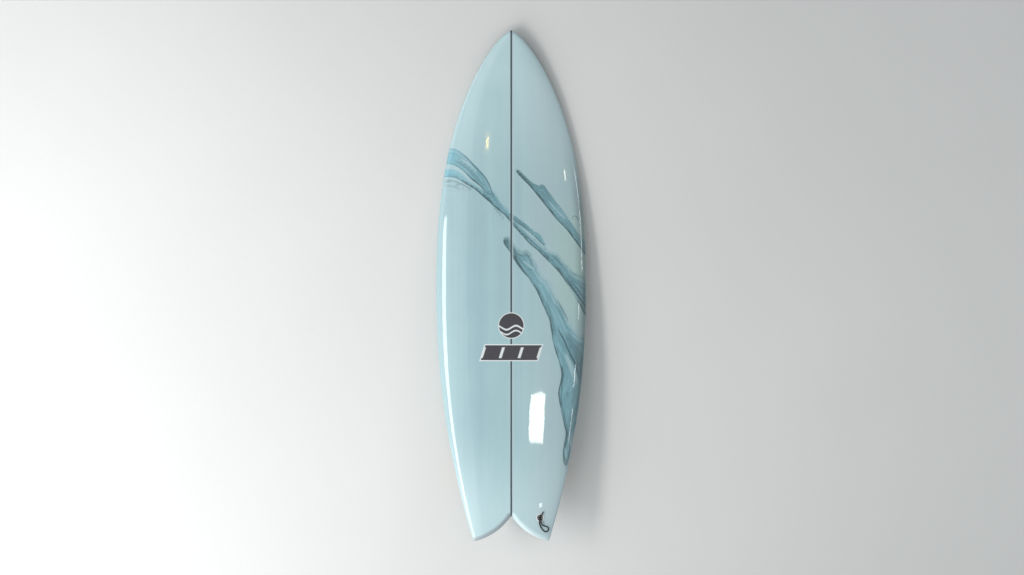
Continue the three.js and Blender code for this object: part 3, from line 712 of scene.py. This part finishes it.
def stream_tone(g, along, across, depth, streaks, stream):
    """How dark the stream is, from 0 to 1: streaked, darkest along its uneven low edge."""
    fine = g.join(g.mul(along, 16), g.mul(depth, 260), stream.seed)
    fine = g.noise(fine, 1, 3, 0.6, 0.3)
    tone = g.add(stream.tone, g.mul(g.sub(streaks, 0.5), 1.6 * stream.streak))
    tone = g.add(tone, g.mul(g.sub(fine, 0.5), 0.8))
    tone = g.add(tone, g.step(along, 0.2, 0.03, 0, stream.head))
    uneven = g.noise(g.join(g.mul(along, 14), stream.seed, 5), 1, 3, 0.6)
    edge_width = g.step(uneven, 0.3, 0.7, 4 * MM, 14 * MM)
    low_edge = g.sub(1, g.div(depth, edge_width), clamp=True)
    low_edge = g.mul(low_edge, g.step(across, 0.6, 0.3))
    low_edge = g.mul(low_edge, g.step(uneven, 0.2, 0.6, 0.5, 1.2))
    return g.add(tone, g.mul(low_edge, stream.edge), clamp=True)


def resin_stream(g, colour, plan, name, stream):
    """Lays one stream over the colour, with ragged edges and streaks along it."""
    along, across, depth = g.split(g.attribute("stream_" + name))
    ragged = g.noise(plan, 26, 4, 0.6, 0.6)
    ragged = g.mul(g.sub(ragged, 0.5), 2 * stream.warp * MM)
    depth = g.add(depth, g.mul(ragged, g.add(0.3, g.mul(across, 1.6))))
    lines = g.join(g.mul(along, 7), g.mul(across, 5), stream.seed * 7)
    streaks = g.noise(lines, 1.6, 4, 0.6, 0.35)
    cover = stream_cover(g, along, across, depth, streaks, stream.soft)
    tone = stream_tone(g, along, across, depth, streaks, stream)
    body = g.ramp(tone, [(0, FIELD_GREY), (0.3, TEAL_LIGHT), (0.52, TEAL), (0.78, TEAL_GREY),
                         (1, TEAL_DARK)])
    x = g.split(plan)[0]
    body = g.mix(g.mul(g.step(x, -0.15, -0.23), 0.6), body, TEAL_BRIGHT)
    return g.mix(g.mul(cover, 0.95), colour, body)


def resin_threads(g, colour, plan):
    wobble = g.mul(g.sub(g.noise(plan, 45, 3), 0.5), 1.1)
    for number in range(len(THREADS)):
        across, strength, _ = g.split(g.attribute(f"threads_{number}"))
        near = g.step(g.absolute(g.add(across, wobble)), 1.25, 0.35)
        dark = g.mul(near, g.larger(strength, 0))
        pale = g.mul(near, g.larger(g.mul(strength, -1), 0))
        colour = g.mix(dark, colour, TEAL_DARK)
        colour = g.mix(pale, colour, FIELD_LIGHT)
    return colour


# where the painted light and shade on the tail's rolled edge begins and is complete, and the same for
# the glue line, the stringer's wood, the painted shade by the right rail and the cut edge of the lap below
TAIL_ROLL = (19 * MM, 13 * MM)
GLUE_LINE = (10 * MM, 4.5 * MM)
STRINGER_WOOD = (3.4 * MM, 2.6 * MM)
RAIL_SHADE_BAND = (44 * MM, 3 * MM)
LAP_EDGE = (48 * MM, 47 * MM)
CLOTH_WEAVE = 3900


def tail_roll_light_and_shade(g, colour, plan):
    """Painted light and shade over the swallow tail's rolled edge: a pale painted highlight on the right,
    a greyer painted shade on the left.
    """
    beside = g.split(g.attribute("edges"))[1]
    left = g.step(g.split(plan)[2], 3 * MM, -3 * MM)
    ragged = g.mul(g.noise(plan, 60, 3), 4 * MM)
    rolled = g.step(g.add(beside, ragged), *TAIL_ROLL)
    roll_light_and_shade = g.mix(left, srgb(214, 230, 232), srgb(163, 170, 177))
    return g.mix(g.mul(rolled, g.step(left, 0, 1, 0.55, 0.75)), colour, roll_light_and_shade)


def stringer_line(g, colour, plan):
    """The wooden stringer under the glass, with a pale glue line along each cheek."""
    _, y, x = g.split(plan)
    wander = g.mul(g.sub(g.noise(g.join(0, y), 40, 3), 0.5), 0.7 * MM)
    off = g.absolute(g.add(x, wander))
    glue_right = g.step(x, -1 * MM, 1 * MM, 0.3, 0.75)
    glue = g.mul(g.step(off, *GLUE_LINE), glue_right)
    colour = g.mix(glue, colour, srgb(190, 207, 211))
    grain = g.noise(g.join(g.mul(x, 900), g.mul(y, 14)), 1, 3)
    wood = g.mix(grain, srgb(38, 52, 60), srgb(66, 84, 92))
    return g.mix(g.step(off, *STRINGER_WOOD), colour, wood)


BADGE_AT = 0.753
BADGE_RADIUS = 0.043
BADGE_RIM = 0.0028
BADGE_WAVES = ((-0.0105, -0.004), (-0.027, -0.0215))
BAR_AT = 0.6585
BAR_HALF_LENGTH = 0.0985
BAR_HALF_WIDTH = 0.026
BAR_LEAN = 0.32
BAR_RIM = (0.004, 0.0036)
SLOTS_PER_METRE = 15.2
DECAL_SOFT = 0.0006


def below(g, value, limit):
    return g.step(value, limit + DECAL_SOFT, limit - DECAL_SOFT)


def band(g, value, low, high):
    return g.mul(g.step(value, low - DECAL_SOFT, low + DECAL_SOFT), below(g, value, high))


def badge(g, x, y):
    """Coverage by a round badge, by the badge with its rim, and by two waves on it."""
    up = g.sub(y, BADGE_AT)
    radius = g.root(g.add(g.power(x, 2), g.power(up, 2)))
    height = g.sub(up, g.mul(g.sine(g.mul(x, 95)), 0.007))
    waves = g.add(*(band(g, height, *wave) for wave in BADGE_WAVES), clamp=True)
    return below(g, radius, BADGE_RADIUS), below(g, radius, BADGE_RADIUS + BADGE_RIM), waves


def bar(g, x, y):
    """Coverage by a leaning bar, by the bar with its rim, and by the slots in it."""
    up = g.sub(y, BAR_AT)
    lean = g.sub(x, g.mul(up, BAR_LEAN))
    row = g.absolute(up)
    reach, width = BAR_HALF_LENGTH + BAR_RIM[0], BAR_HALF_WIDTH + BAR_RIM[1]
    body = g.mul(band(g, lean, -BAR_HALF_LENGTH, BAR_HALF_LENGTH), below(g, row, BAR_HALF_WIDTH))
    rimmed = g.mul(band(g, lean, -reach, reach), below(g, row, width))
    slots = g.absolute(g.sub(g.fraction(g.mul(lean, SLOTS_PER_METRE)), 0.5))
    return body, rimmed, g.mul(g.step(slots, 0.09, 0.06), g.step(row, 0.0195, 0.018))


def plain_decal(g, colour, plan):
    """A round dark badge with two pale waves, over a leaning dark bar with pale slots: no lettering."""
    x, y, _ = g.split(plan)
    disc, halo, waves = badge(g, x, y)
    body, rim, slots = bar(g, x, y)
    ink = g.mix(g.noise(plan, 60, 3), INK, srgb(66, 62, 68))
    colour = g.mix(g.larger(halo, rim), colour, PALE)
    colour = g.mix(g.larger(disc, body), colour, ink)
    pale = g.larger(g.mul(waves, disc), g.mul(slots, body))
    return g.mix(g.mul(pale, 0.95), colour, PALE)


def paint_rail_shade(g, colour, plan, inset):
    """Painted shade along the right rail: the resin colour is made darker there."""
    x, y, _ = g.split(plan)
    along_rail = g.mul(g.step(y, 0.2, 0.45), g.step(y, 1.4, 1.15))
    right_rail_shade = g.mul(g.step(inset, *RAIL_SHADE_BAND, 0, 0.55), g.step(x, 0, 0.05))
    return g.mix(g.mul(right_rail_shade, along_rail), colour, RAIL_SHADE)


def bottom_lap(g, colour, field, plan, inset):
    """The deck's tinted glass laps round the rail and is cut off in a clean line."""
    lap = g.add(inset, g.mul(g.noise(plan, 30, 2), 3 * MM))
    colour = g.mix(0.22, colour, srgb(112, 150, 160))
    return g.mix(g.step(lap, *LAP_EDGE), field, colour)


def resin_material(name, deck):
    g = Graph(name, roughness=0.34, ior=1.5, coat_weight=1, coat_roughness=0.025, coat_ior=1.52,
              specular_ior_level=0.3)
    plan = g.attribute("plan")
    inset = g.split(g.attribute("edges"))[0]
    field = resin_field(g, plan)
    colour = field
    for key, stream in STREAMS.items():
        colour = resin_stream(g, colour, plan, key, stream)
    colour = paint_rail_shade(g, resin_threads(g, colour, plan), plan, inset)
    if deck:
        colour = stringer_line(g, tail_roll_light_and_shade(g, colour, plan), plan)
        colour = plain_decal(g, colour, plan)
    else:
        colour = stringer_line(g, bottom_lap(g, colour, field, plan, inset), plan)
    x, y, _ = g.split(plan)
    cloth = g.mul(g.sine(g.mul(x, CLOTH_WEAVE)), g.sine(g.mul(y, CLOTH_WEAVE)))
    colour = g.mix(g.mul(g.step(cloth, -1, 1), 0.05), colour, srgb(210, 228, 230))
    surface = g.add(g.noise(plan, 11, 2, 0.4), g.mul(g.noise(plan, 420, 2), 0.006))
    g.set("Coat Normal", g.bump(surface, 0.25, 0.0012))
    roughness = g.step(g.noise(plan, 18, 3), 0.3, 0.7, 0.30, 0.40)
    return g.finish(colour, roughness, g.bump(cloth, 0.05, 0.0002))


def foam_material():
    g = Graph("blown_foam", roughness=0.9, ior=1.3)
    place = g.place()
    cells = g.node("TexVoronoi", {"Vector": place, "Scale": 900}, output="Distance")
    colour = g.mix(g.noise(place, 12, 4), srgb(238, 234, 220), srgb(250, 248, 240))
    colour = g.mix(g.step(cells, 0, 0.6, 0.25, 0), colour, srgb(214, 208, 190))
    return g.finish(colour, normal=g.bump(cells, 0.5, 0.0006))


def wood_material(name, light, dark, axis_scale, **coat):
    """Long-grained wood; axis_scale stretches the grain along the board."""
    g = Graph(name, roughness=0.45, ior=1.5, **coat)
    place = g.scaled(g.place(), axis_scale)
    rings = g.noise(place, 1, 5, 0.6, 0.8)
    pores = g.noise(g.scaled(place, (4, 1.5, 4)), 3, 3)
    share = g.add(g.step(rings, 0.3, 0.7), g.mul(g.step(pores, 0.62, 0.75), 0.35), clamp=True)
    colour = g.mix(share, light, dark)
    return g.finish(colour, g.step(pores, 0.2, 0.8, 0.38, 0.6), g.bump(pores, 0.15, 0.0003))


def plastic_material():
    g = Graph("white_plastic", roughness=0.4, ior=1.49, specular_ior_level=0.5)
    place = g.place()
    scuffs = g.noise(g.scaled(place, (1, 6, 1)), 260, 4, 0.7)
    wear = g.step(g.noise(place, 150, 4), 0.45, 0.75, 0, 0.6)
    colour = g.mix(wear, srgb(243, 245, 244), srgb(222, 225, 223))
    normal = g.bump(g.noise(place, 1500, 2), 0.12, 0.0002)
    return g.finish(colour, g.step(scuffs, 0.3, 0.7, 0.32, 0.55), normal)


def steel_material():
    g = Graph("stainless_steel", metallic=1, roughness=0.3)
    place = g.place()
    brushed = g.noise(g.scaled(place, (14, 1, 1)), 320, 4, 0.7)
    colour = g.mix(g.step(brushed, 0.3, 0.7), srgb(168, 170, 172), srgb(206, 207, 207))
    return g.finish(colour, g.step(brushed, 0.2, 0.8, 0.2, 0.42), g.bump(brushed, 0.1, 0.0001))


STRAND_PITCH = 2.6
STRANDS = 4


def braid_material():
    """Black braided cord; its strands cross over and under from the stored length and turn."""
    g = Graph("braided_cord", roughness=0.75, sheen_weight=0.12, sheen_roughness=0.5)
    along, turn, _ = g.split(g.attribute("braid"))
    lengthwise, crosswise = g.mul(along, STRAND_PITCH / MM), g.mul(turn, STRANDS)
    weave = g.larger(g.sine(g.add(lengthwise, crosswise)), g.sine(g.sub(lengthwise, crosswise)))
    fibres = g.noise(g.join(g.mul(along, 1500), g.mul(turn, 14)), 1, 3)
    # painted shade: the cord is darker in the gaps between strands and lighter on their crests
    shade = g.mul(g.step(weave, -0.2, 1), g.add(0.6, g.mul(fibres, 0.6)))
    colour = g.mix(shade, srgb(7, 7, 9), srgb(34, 35, 41))
    return g.finish(colour, g.step(fibres, 0.3, 0.7, 0.62, 0.85), g.bump(weave, 0.6, 0.0003))


def floor_material():
    g = Graph("studio_floor", roughness=0.85)
    place = g.place()
    shade = g.add(g.mul(g.noise(place, 0.7, 3), 0.5), g.mul(g.noise(place, 90, 2), 0.1))
    return g.finish(g.mix(g.step(shade, 0.1, 0.5), srgb(222, 222, 220), srgb(230, 230, 228)))


def give(obj, material):
    obj.data.materials.clear()
    obj.data.materials.append(material)


SHARP_ANGLE = math.radians(40)


def placed(obj, matrix, material):
    """Moves a part drawn in its own millimetre frame to its place, with its sharp edges and look."""
    obj.data.transform(LEVEL @ matrix)
    obj.data.set_sharp_from_angle(angle=SHARP_ANGLE)
    give(obj, material)
    return obj


# ---- fins and plug

def fin_frame(side):
    slope = (rocker(FIN_ALONG + 4) - rocker(FIN_ALONG - 4)) / 8
    turn = Matrix.Rotation(math.atan(slope), 4, "X") @ Matrix.Rotation(math.pi, 4, "Y")
    turn = turn @ Matrix.Rotation(-side * FIN_TOE, 4, "Z")
    at = Vector((side * FIN_ACROSS, FIN_ALONG, rocker(FIN_ALONG)))
    return Matrix.Translation(at) @ turn


def leash_frame():
    def height(dx, dy):
        return float(deck_height(PLUG_ACROSS + dx, PLUG_ALONG + dy))
    slope_x, slope_y = (height(-4, 0) - height(4, 0)) / 8, (height(0, -4) - height(0, 4)) / 8
    normal = Vector((slope_x, slope_y, 1)).normalized()
    turn = Vector((0, 0, 1)).rotation_difference(normal).to_matrix().to_4x4()
    return Matrix.Translation((PLUG_ACROSS, PLUG_ALONG, height(0, 0))) @ turn


FIN_BASE = 184
FIN_DEPTH = 132.8
FIN_THICKNESS = 7.6
FIN_CLEARANCE = 0.6
FIN_END = 0.985
FIN_ROWS = 44
FIN_STEPS = 36
FIN_RAKE = 112
FIN_TIP_CURVE = 40
FIN_BACK_RAKE = 32
TAB_HALF_LENGTH = 10
TAB_HALF_WIDTH = 2.7
TAB_DEPTH = 14
TAB_CORNER = 1.2
PIN_HEIGHT = -7


def fin_object(name, side, material):
    """A keel fin: foiled outboard face, flat inboard face, rounded edges and two base tabs."""
    rows = [FIN_END * (1 - (1 - i / FIN_ROWS) ** 1.5) for i in range(FIN_ROWS + 1)]
    shares = [(1 - math.cos(math.pi * i / FIN_STEPS)) / 2 for i in range(FIN_STEPS + 1)]
    vertices = []
    for h in rows:
        front = FIN_BASE / 2 - FIN_RAKE * h - FIN_TIP_CURVE * h ** 6
        back = -FIN_BASE / 2 + FIN_BACK_RAKE * h ** 0.7
        chord = front - back
        thick = min(FIN_THICKNESS * (1 - 0.55 * h), chord * 0.16)
        z = FIN_CLEARANCE + FIN_DEPTH * h
        for share in shares:
            bulge = math.sin(math.pi * share ** 0.6)
            vertices.append((thick * (0.94 * bulge - 0.44), front - chord * share, z))
        for share in shares[-2:0:-1]:
            flat = 0.06 * thick * min(1, 14 * min(share, 1 - share))
            vertices.append((-thick * 0.44 - flat, front - chord * share, z))
    count = len(shares) * 2 - 2
    faces = grid_faces(len(rows), count)
    close_ends(faces, 0, len(rows), count)
    for y in (-FIN_TAB_AT, FIN_TAB_AT):
        add_tab(vertices, faces, y)
    if side > 0:
        vertices = [(-x, y, z) for x, y, z in vertices]
    obj = mesh_object(name, vertices, faces)
    weld(obj, 1e-3)
    return placed(obj, fin_frame(side) @ Matrix.Rotation(-side * FIN_CANT, 4, "Y"), material)


def add_tab(vertices, faces, y):
    """A rounded block below the fin's base that goes into one plug."""
    ring = []
    for right, front, start in ((1, 1, 0), (-1, 1, 90), (-1, -1, 180), (1, -1, 270)):
        for step in range(5):
            angle = math.radians(start + 22.5 * step)
            ring.append((right * (TAB_HALF_WIDTH - TAB_CORNER) + TAB_CORNER * math.cos(angle),
                         front * (TAB_HALF_LENGTH - TAB_CORNER) + TAB_CORNER * math.sin(angle)))
    first = len(vertices)
    levels = [(2.0, 1.0), (1 - TAB_DEPTH, 1.0), (0.3 - TAB_DEPTH, 0.96), (-TAB_DEPTH, 0.88)]
    for z, scale in levels:
        vertices.extend((px * scale, y + py * scale, z) for px, py in ring)
    count = len(ring)
    for face in grid_faces(len(levels), count):
        faces.append(tuple(reversed([first + v for v in face])))
    close_ends(faces, first, len(levels), count)


def cup_object(material):
    """The leash plug: a flanged cup whose floor is dished, with eased edges."""
    profile = [(0, -16), (12.2, -16), (12.8, -15.4), (12.8, -2.1), (13.9, -2.0), (14.0, -1.8),
               (14.0, 0.25), (13.9, 0.55), (13.65, 0.78), (13.3, 0.9), (11.7, 0.9), (11.3, 0.8),
               (11.05, 0.5), (11.0, 0.1), (11.0, -9.6), (10.85, -10.3), (8.0, -13.7), (7.2, -14.15),
               (0, -14.2)]
    return placed(turned_object("leash_cup", profile, 96), leash_frame(), material)


def pin_object(material):
    profile = [(0, -12), (1.7, -12), (2.0, -11.7), (2.0, 11.7), (1.7, 12), (0, 12)]
    across_cup = Matrix.Translation((0, 0, PIN_HEIGHT)) @ Matrix.Rotation(math.pi / 2, 4, "Y")
    return placed(turned_object("leash_pin", profile, 40), leash_frame() @ across_cup, material)


# ---- leash string

STRING_RADIUS = 1.96
KNOT_CORD_RADIUS = 1.75
STRING_ROUTE = [
    (-2.6, -5.9, 3.2), (-2.8, -9.8, 4.0), (-2.8, -14, 4.1), (-2.6, -18.6, 3.5), (-1.6, -24.6, 2.8),
    (1, -31.4, 2.5), (5.2, -38.6, 2.4), (10.9, -45, 2.1), (17.8, -49.5, 1.6), (24.1, -48.3, 1),
    (28.2, -43.4, 0.6), (28.2, -37, 0.8), (24.1, -32.1, 1.3), (17.4, -30.1, 1.9),
    (10.4, -27.6, 2.7), (5.9, -23.6, 4.4), (3.4, -19.4, 6.2), (2.6, -15.9, 6.9), (2.5, -12.5, 6.15),
    (2.5, -9.8, 4.05), (2.5, -8.2, 1), (2.5, -7.9, -1.6), (2.5, -7.9, -3.9), (2.5, -6.8, -7.8),
    (2.5, -3.9, -10.7), (2.4, 0, -11.8), (2.4, 3.9, -10.7), (2.4, 6.8, -7.8), (2.5, 7.9, -3.9),
    (2.6, 7.8, -1.1),
]
INTO_KNOT = [(-1.4, -3.2, 2.9), (2.9, 7.2, 2.2)]
KNOT_TURNS = [((-0.6, -0.2, 2.5), (2.9, 2.9, 1.4), 0.4), ((3.2, 6.8, 2.8), (2.2, 2.5, 1.1), 1.6)]
KNOT_TAIL = [(3.2, 6.8, 2.9), (5.6, 11.2, 3.7), (8.0, 15.6, 3.8), (10.4, 21, 3.1)]


def tube_points(path, radius, sides, wobble):
    """The rings of a round cord along the path, and its length and turn for the braid."""
    path = np.array(path, float)
    ahead = np.gradient(path, axis=0)
    ahead /= np.linalg.norm(ahead, axis=1)[:, None]
    out = np.cross(ahead[0], [0.3, 0.2, 1.0])
    steps = np.linalg.norm(np.diff(path, axis=0), axis=1)
    travelled = np.concatenate([[0], np.cumsum(steps)])
    vertices, braid = [], []
    for p, direction, length in zip(path, ahead, travelled):
        out = out - direction * (out @ direction)
        out /= np.linalg.norm(out)
        other = np.cross(direction, out)
        for side in range(sides):
            angle = 2 * math.pi * side / sides
            along, round_it = STRAND_PITCH * length, STRANDS * angle
            crossing = max(math.sin(along + round_it), math.sin(along - round_it))
            here = radius * (1 + wobble * crossing)
            vertices.append(p + here * (math.cos(angle) * out + math.sin(angle) * other))
            braid.append((length * MM, angle, 0))
    return vertices, braid


def tube_object(name, paths, radius, sides, material, wobble=0.02):
    """Round cords with flat ends, in the leash plug's frame, as one piece."""
    vertices, braid, faces = [], [], []
    for path in paths:
        start = len(vertices)
        more, turns = tube_points(path, radius, sides, wobble)
        vertices += more
        braid += turns
        faces += [tuple(i + start for i in face) for face in grid_faces(len(path), sides)]
        close_ends(faces, start, len(path), sides)
    obj = mesh_object(name, vertices, faces)
    store(obj.data, "braid", braid)
    obj.data.transform(LEVEL @ leash_frame())
    give(obj, material)
    return obj


def knot_path(centre, size, turned):
    """An overhand knot's own turns, drawn as an open trefoil pulled tight."""
    turn = np.linspace(0.05, 2 * np.pi - 0.05, 110)
    round_axis = 2 * turn + turned
    x = (2 + np.cos(3 * turn)) * np.cos(round_axis) * size[0] / 3
    y = (2 + np.cos(3 * turn)) * np.sin(round_axis) * size[1] / 3
    z = size[2] * np.sin(3 * turn)
    return np.stack([x, y, z], -1) + np.array(centre)


def add_leash(material):
    path = smooth_line([INTO_KNOT[0]] + STRING_ROUTE + [INTO_KNOT[1]], 9)
    string = tube_object("leash_cord", [path], STRING_RADIUS, 20, material)
    turns = [knot_path(*turn) for turn in KNOT_TURNS] + [smooth_line(KNOT_TAIL, 9)]
    knot = tube_object("leash_knot", turns, KNOT_CORD_RADIUS, 18, material)
    link(string, "board", ["leash_string"], "string_cord")
    link(knot, "board", ["leash_string_knot"], "string_cord")
    there = LEVEL @ leash_frame()
    row_path = [tuple(there @ Vector(p)) for p in path]
    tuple(row_path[0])


# ---- lights

def area_light(name, at, toward, size, radiance, colour=(1, 1, 1), along=(0, 1, 0)):
    data = bpy.data.lights.new(name, "AREA")
    data.shape = "RECTANGLE"
    data.size, data.size_y = size
    data.energy = radiance * math.pi * size[0] * size[1]
    data.color = colour
    lamp = bpy.data.objects.new(name, data)
    into_scene(lamp)
    aim = (Vector(toward) - Vector(at)).normalized()
    along = Vector(along)
    along = (along - aim * aim.dot(along)).normalized()
    across = along.cross(-aim)
    lamp.matrix_world = Matrix.Translation(at) @ Matrix((across, along, -aim)).transposed().to_4x4()
    lamp.visible_camera = False


def at_left(angle, distance, y):
    """A place left of the board, so many degrees off the vertical above its left rail."""
    lean = math.radians(angle)
    return (-0.24 - distance * math.sin(lean), y, 0.1 + distance * math.cos(lean))


# name, place, where it faces, size, radiance, and colour and upward side where they aren't the usual
WALLS = [
    ("left_strip", at_left(40, 3.2, -0.87), (-0.2, -0.8, 0.1), (0.64, 2.85), 9),
    ("left_wall", at_left(66, 3.2, -0.05), (-0.2, 0, 0.1), (2, 5), 1.3),
    ("left_soft", at_left(21.5, 6, 0), (-0.2, 0, 0.1), (2.1, 6), 0.7),
    ("foot_soft", (-2.2, -3.2, 6), (0, 0.3, 0.1), (4, 1.8), 1.2),
    ("foot_wall", (-2, -3.6, 1.7), (0, -0.8, 0.15), (2, 2.2), 2.4),
    ("right_soft", (3.4, 0.4, 2.6), (0.1, 0, 0.1), (1.2, 4), 0.3),
]
# a window, a warm and a pale bulb, a glint by the leash plug and small bright panes, each mirrored
# once in the gloss
WARM = ((-0.148, 0.522, 0.741), (-0.084, 0.497, 0.045))
MIRRORED = [
    ("window", (0.402, -0.288, 3.11), (0.09, -0.455, 0.11), (0.34, 0.176), 15, (1, 1, 0.90),
     (0.065, 1, -0.1)),
    ("warm_bulb", *WARM, (0.02, 0.034), 13, (1, 0.7, 0.16)),
    ("warm_glow", *WARM, (0.05, 0.062), 1.5, (1, 0.55, 0.1)),
    ("pale_bulb", (0.453, 0.443, 0.687), (0.187, 0.383, 0.042), (0.03, 0.043), 11, (1, 0.92, 0.72)),
    ("plug_glint", (0.235, -0.722, 0.857), (0.103, -0.767, 0.17), (0.03, 0.013), 9),
    ("pane_front", (2.648, 0.516, 1.809), (0.24, 0.235, 0.041), (0.16, 0.6), 10),
    ("pane_middle", (2.181, 0.048, 2.357), (0.236, -0.093, 0.077), (0.12, 0.1), 8),
    ("pane_rear", (2.038, -0.286, 2.49), (0.222, -0.312, 0.102), (0.12, 0.12), 11),
    ("pane_tail", (2.194, -0.585, 2.367), (0.207, -0.49, 0.122), (0.12, 0.2), 10),
]


def add_lights():
    for lamp in WALLS + MIRRORED:
        area_light(*lamp)
    world = bpy.data.worlds.new("studio")
    bpy.context.scene.world = world
    world.use_nodes = True
    background = world.node_tree.nodes["Background"].inputs
    background["Color"].default_value = (0.90, 0.95, 1, 1)
    background["Strength"].default_value = 0.345
    bpy.context.scene.view_settings.view_transform = "Standard"


FLOOR_REACH = 14
FLOOR_CUTS = 8


def add_floor(material):
    axis = np.linspace(-FLOOR_REACH, FLOOR_REACH, FLOOR_CUTS + 1)
    vertices = [(x, y, 0) for y in axis for x in axis]
    faces = grid_faces(len(axis), len(axis), closed=False)
    floor = mesh_object("studio_floor", vertices, faces, smooth=False)
    into_scene(floor)
    give(floor, material)


# ---- assembly

def build_skins():
    hull = Hull()
    hull.cut("deck", leash_frame(), (0, 0), LEASH_HOLE, deck_height)
    for side in (-1, 1):
        for y in (-FIN_TAB_AT, FIN_TAB_AT):
            hull.cut("bottom", fin_frame(side), (0, y), FIN_HOLE, bottom_height)
    normals = hull.normals()
    for sheet, depth, node, slot in (("deck", DECK_GLASS, "deck_lamination", "deck_resin"),
                                     ("bottom", BOTTOM_GLASS, "bottom_lamination", "bottom_resin")):
        obj, level = skin_object(sheet + "_skin", hull, sheet, depth, normals)
        store_resin(obj, level, sheet)
        give(obj, resin_material(sheet + "_gloss_resin", sheet == "deck"))
        link(obj, "board", [node], slot)


def build():
    add_camera()
    add_leash(braid_material())
    build_skins()
    white = plastic_material()
    steel = steel_material()
    veneer = wood_material("fin_veneer", srgb(176, 122, 74), srgb(112, 68, 38), (60, 9, 60),
                           coat_weight=1, coat_roughness=0.04)
    stringer = wood_material("stringer_wood", srgb(205, 164, 112), srgb(150, 108, 66),
                             (420, 6, 60))
    link(cup_object(white), "board", ["leash_plug_cup"], "plug_plastic")
    link(pin_object(steel), "board", ["leash_plug_pin"], "pin_steel")
    for side, label in ((-1, "left"), (1, "right")):
        fin = fin_object(f"fin_{label}", side, veneer)
        link(fin, f"{label}_fin", [f"keel_fin_{label}"], "fin_wood")
    looks = {"fin_plug": white, "fin_screw": steel, "foam": foam_material(), "stringer": stringer}
    for name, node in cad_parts.items():
        for start, look in looks.items():
            if name.startswith(start):
                give(node, look)
    add_lights()
    add_floor(floor_material())


build()
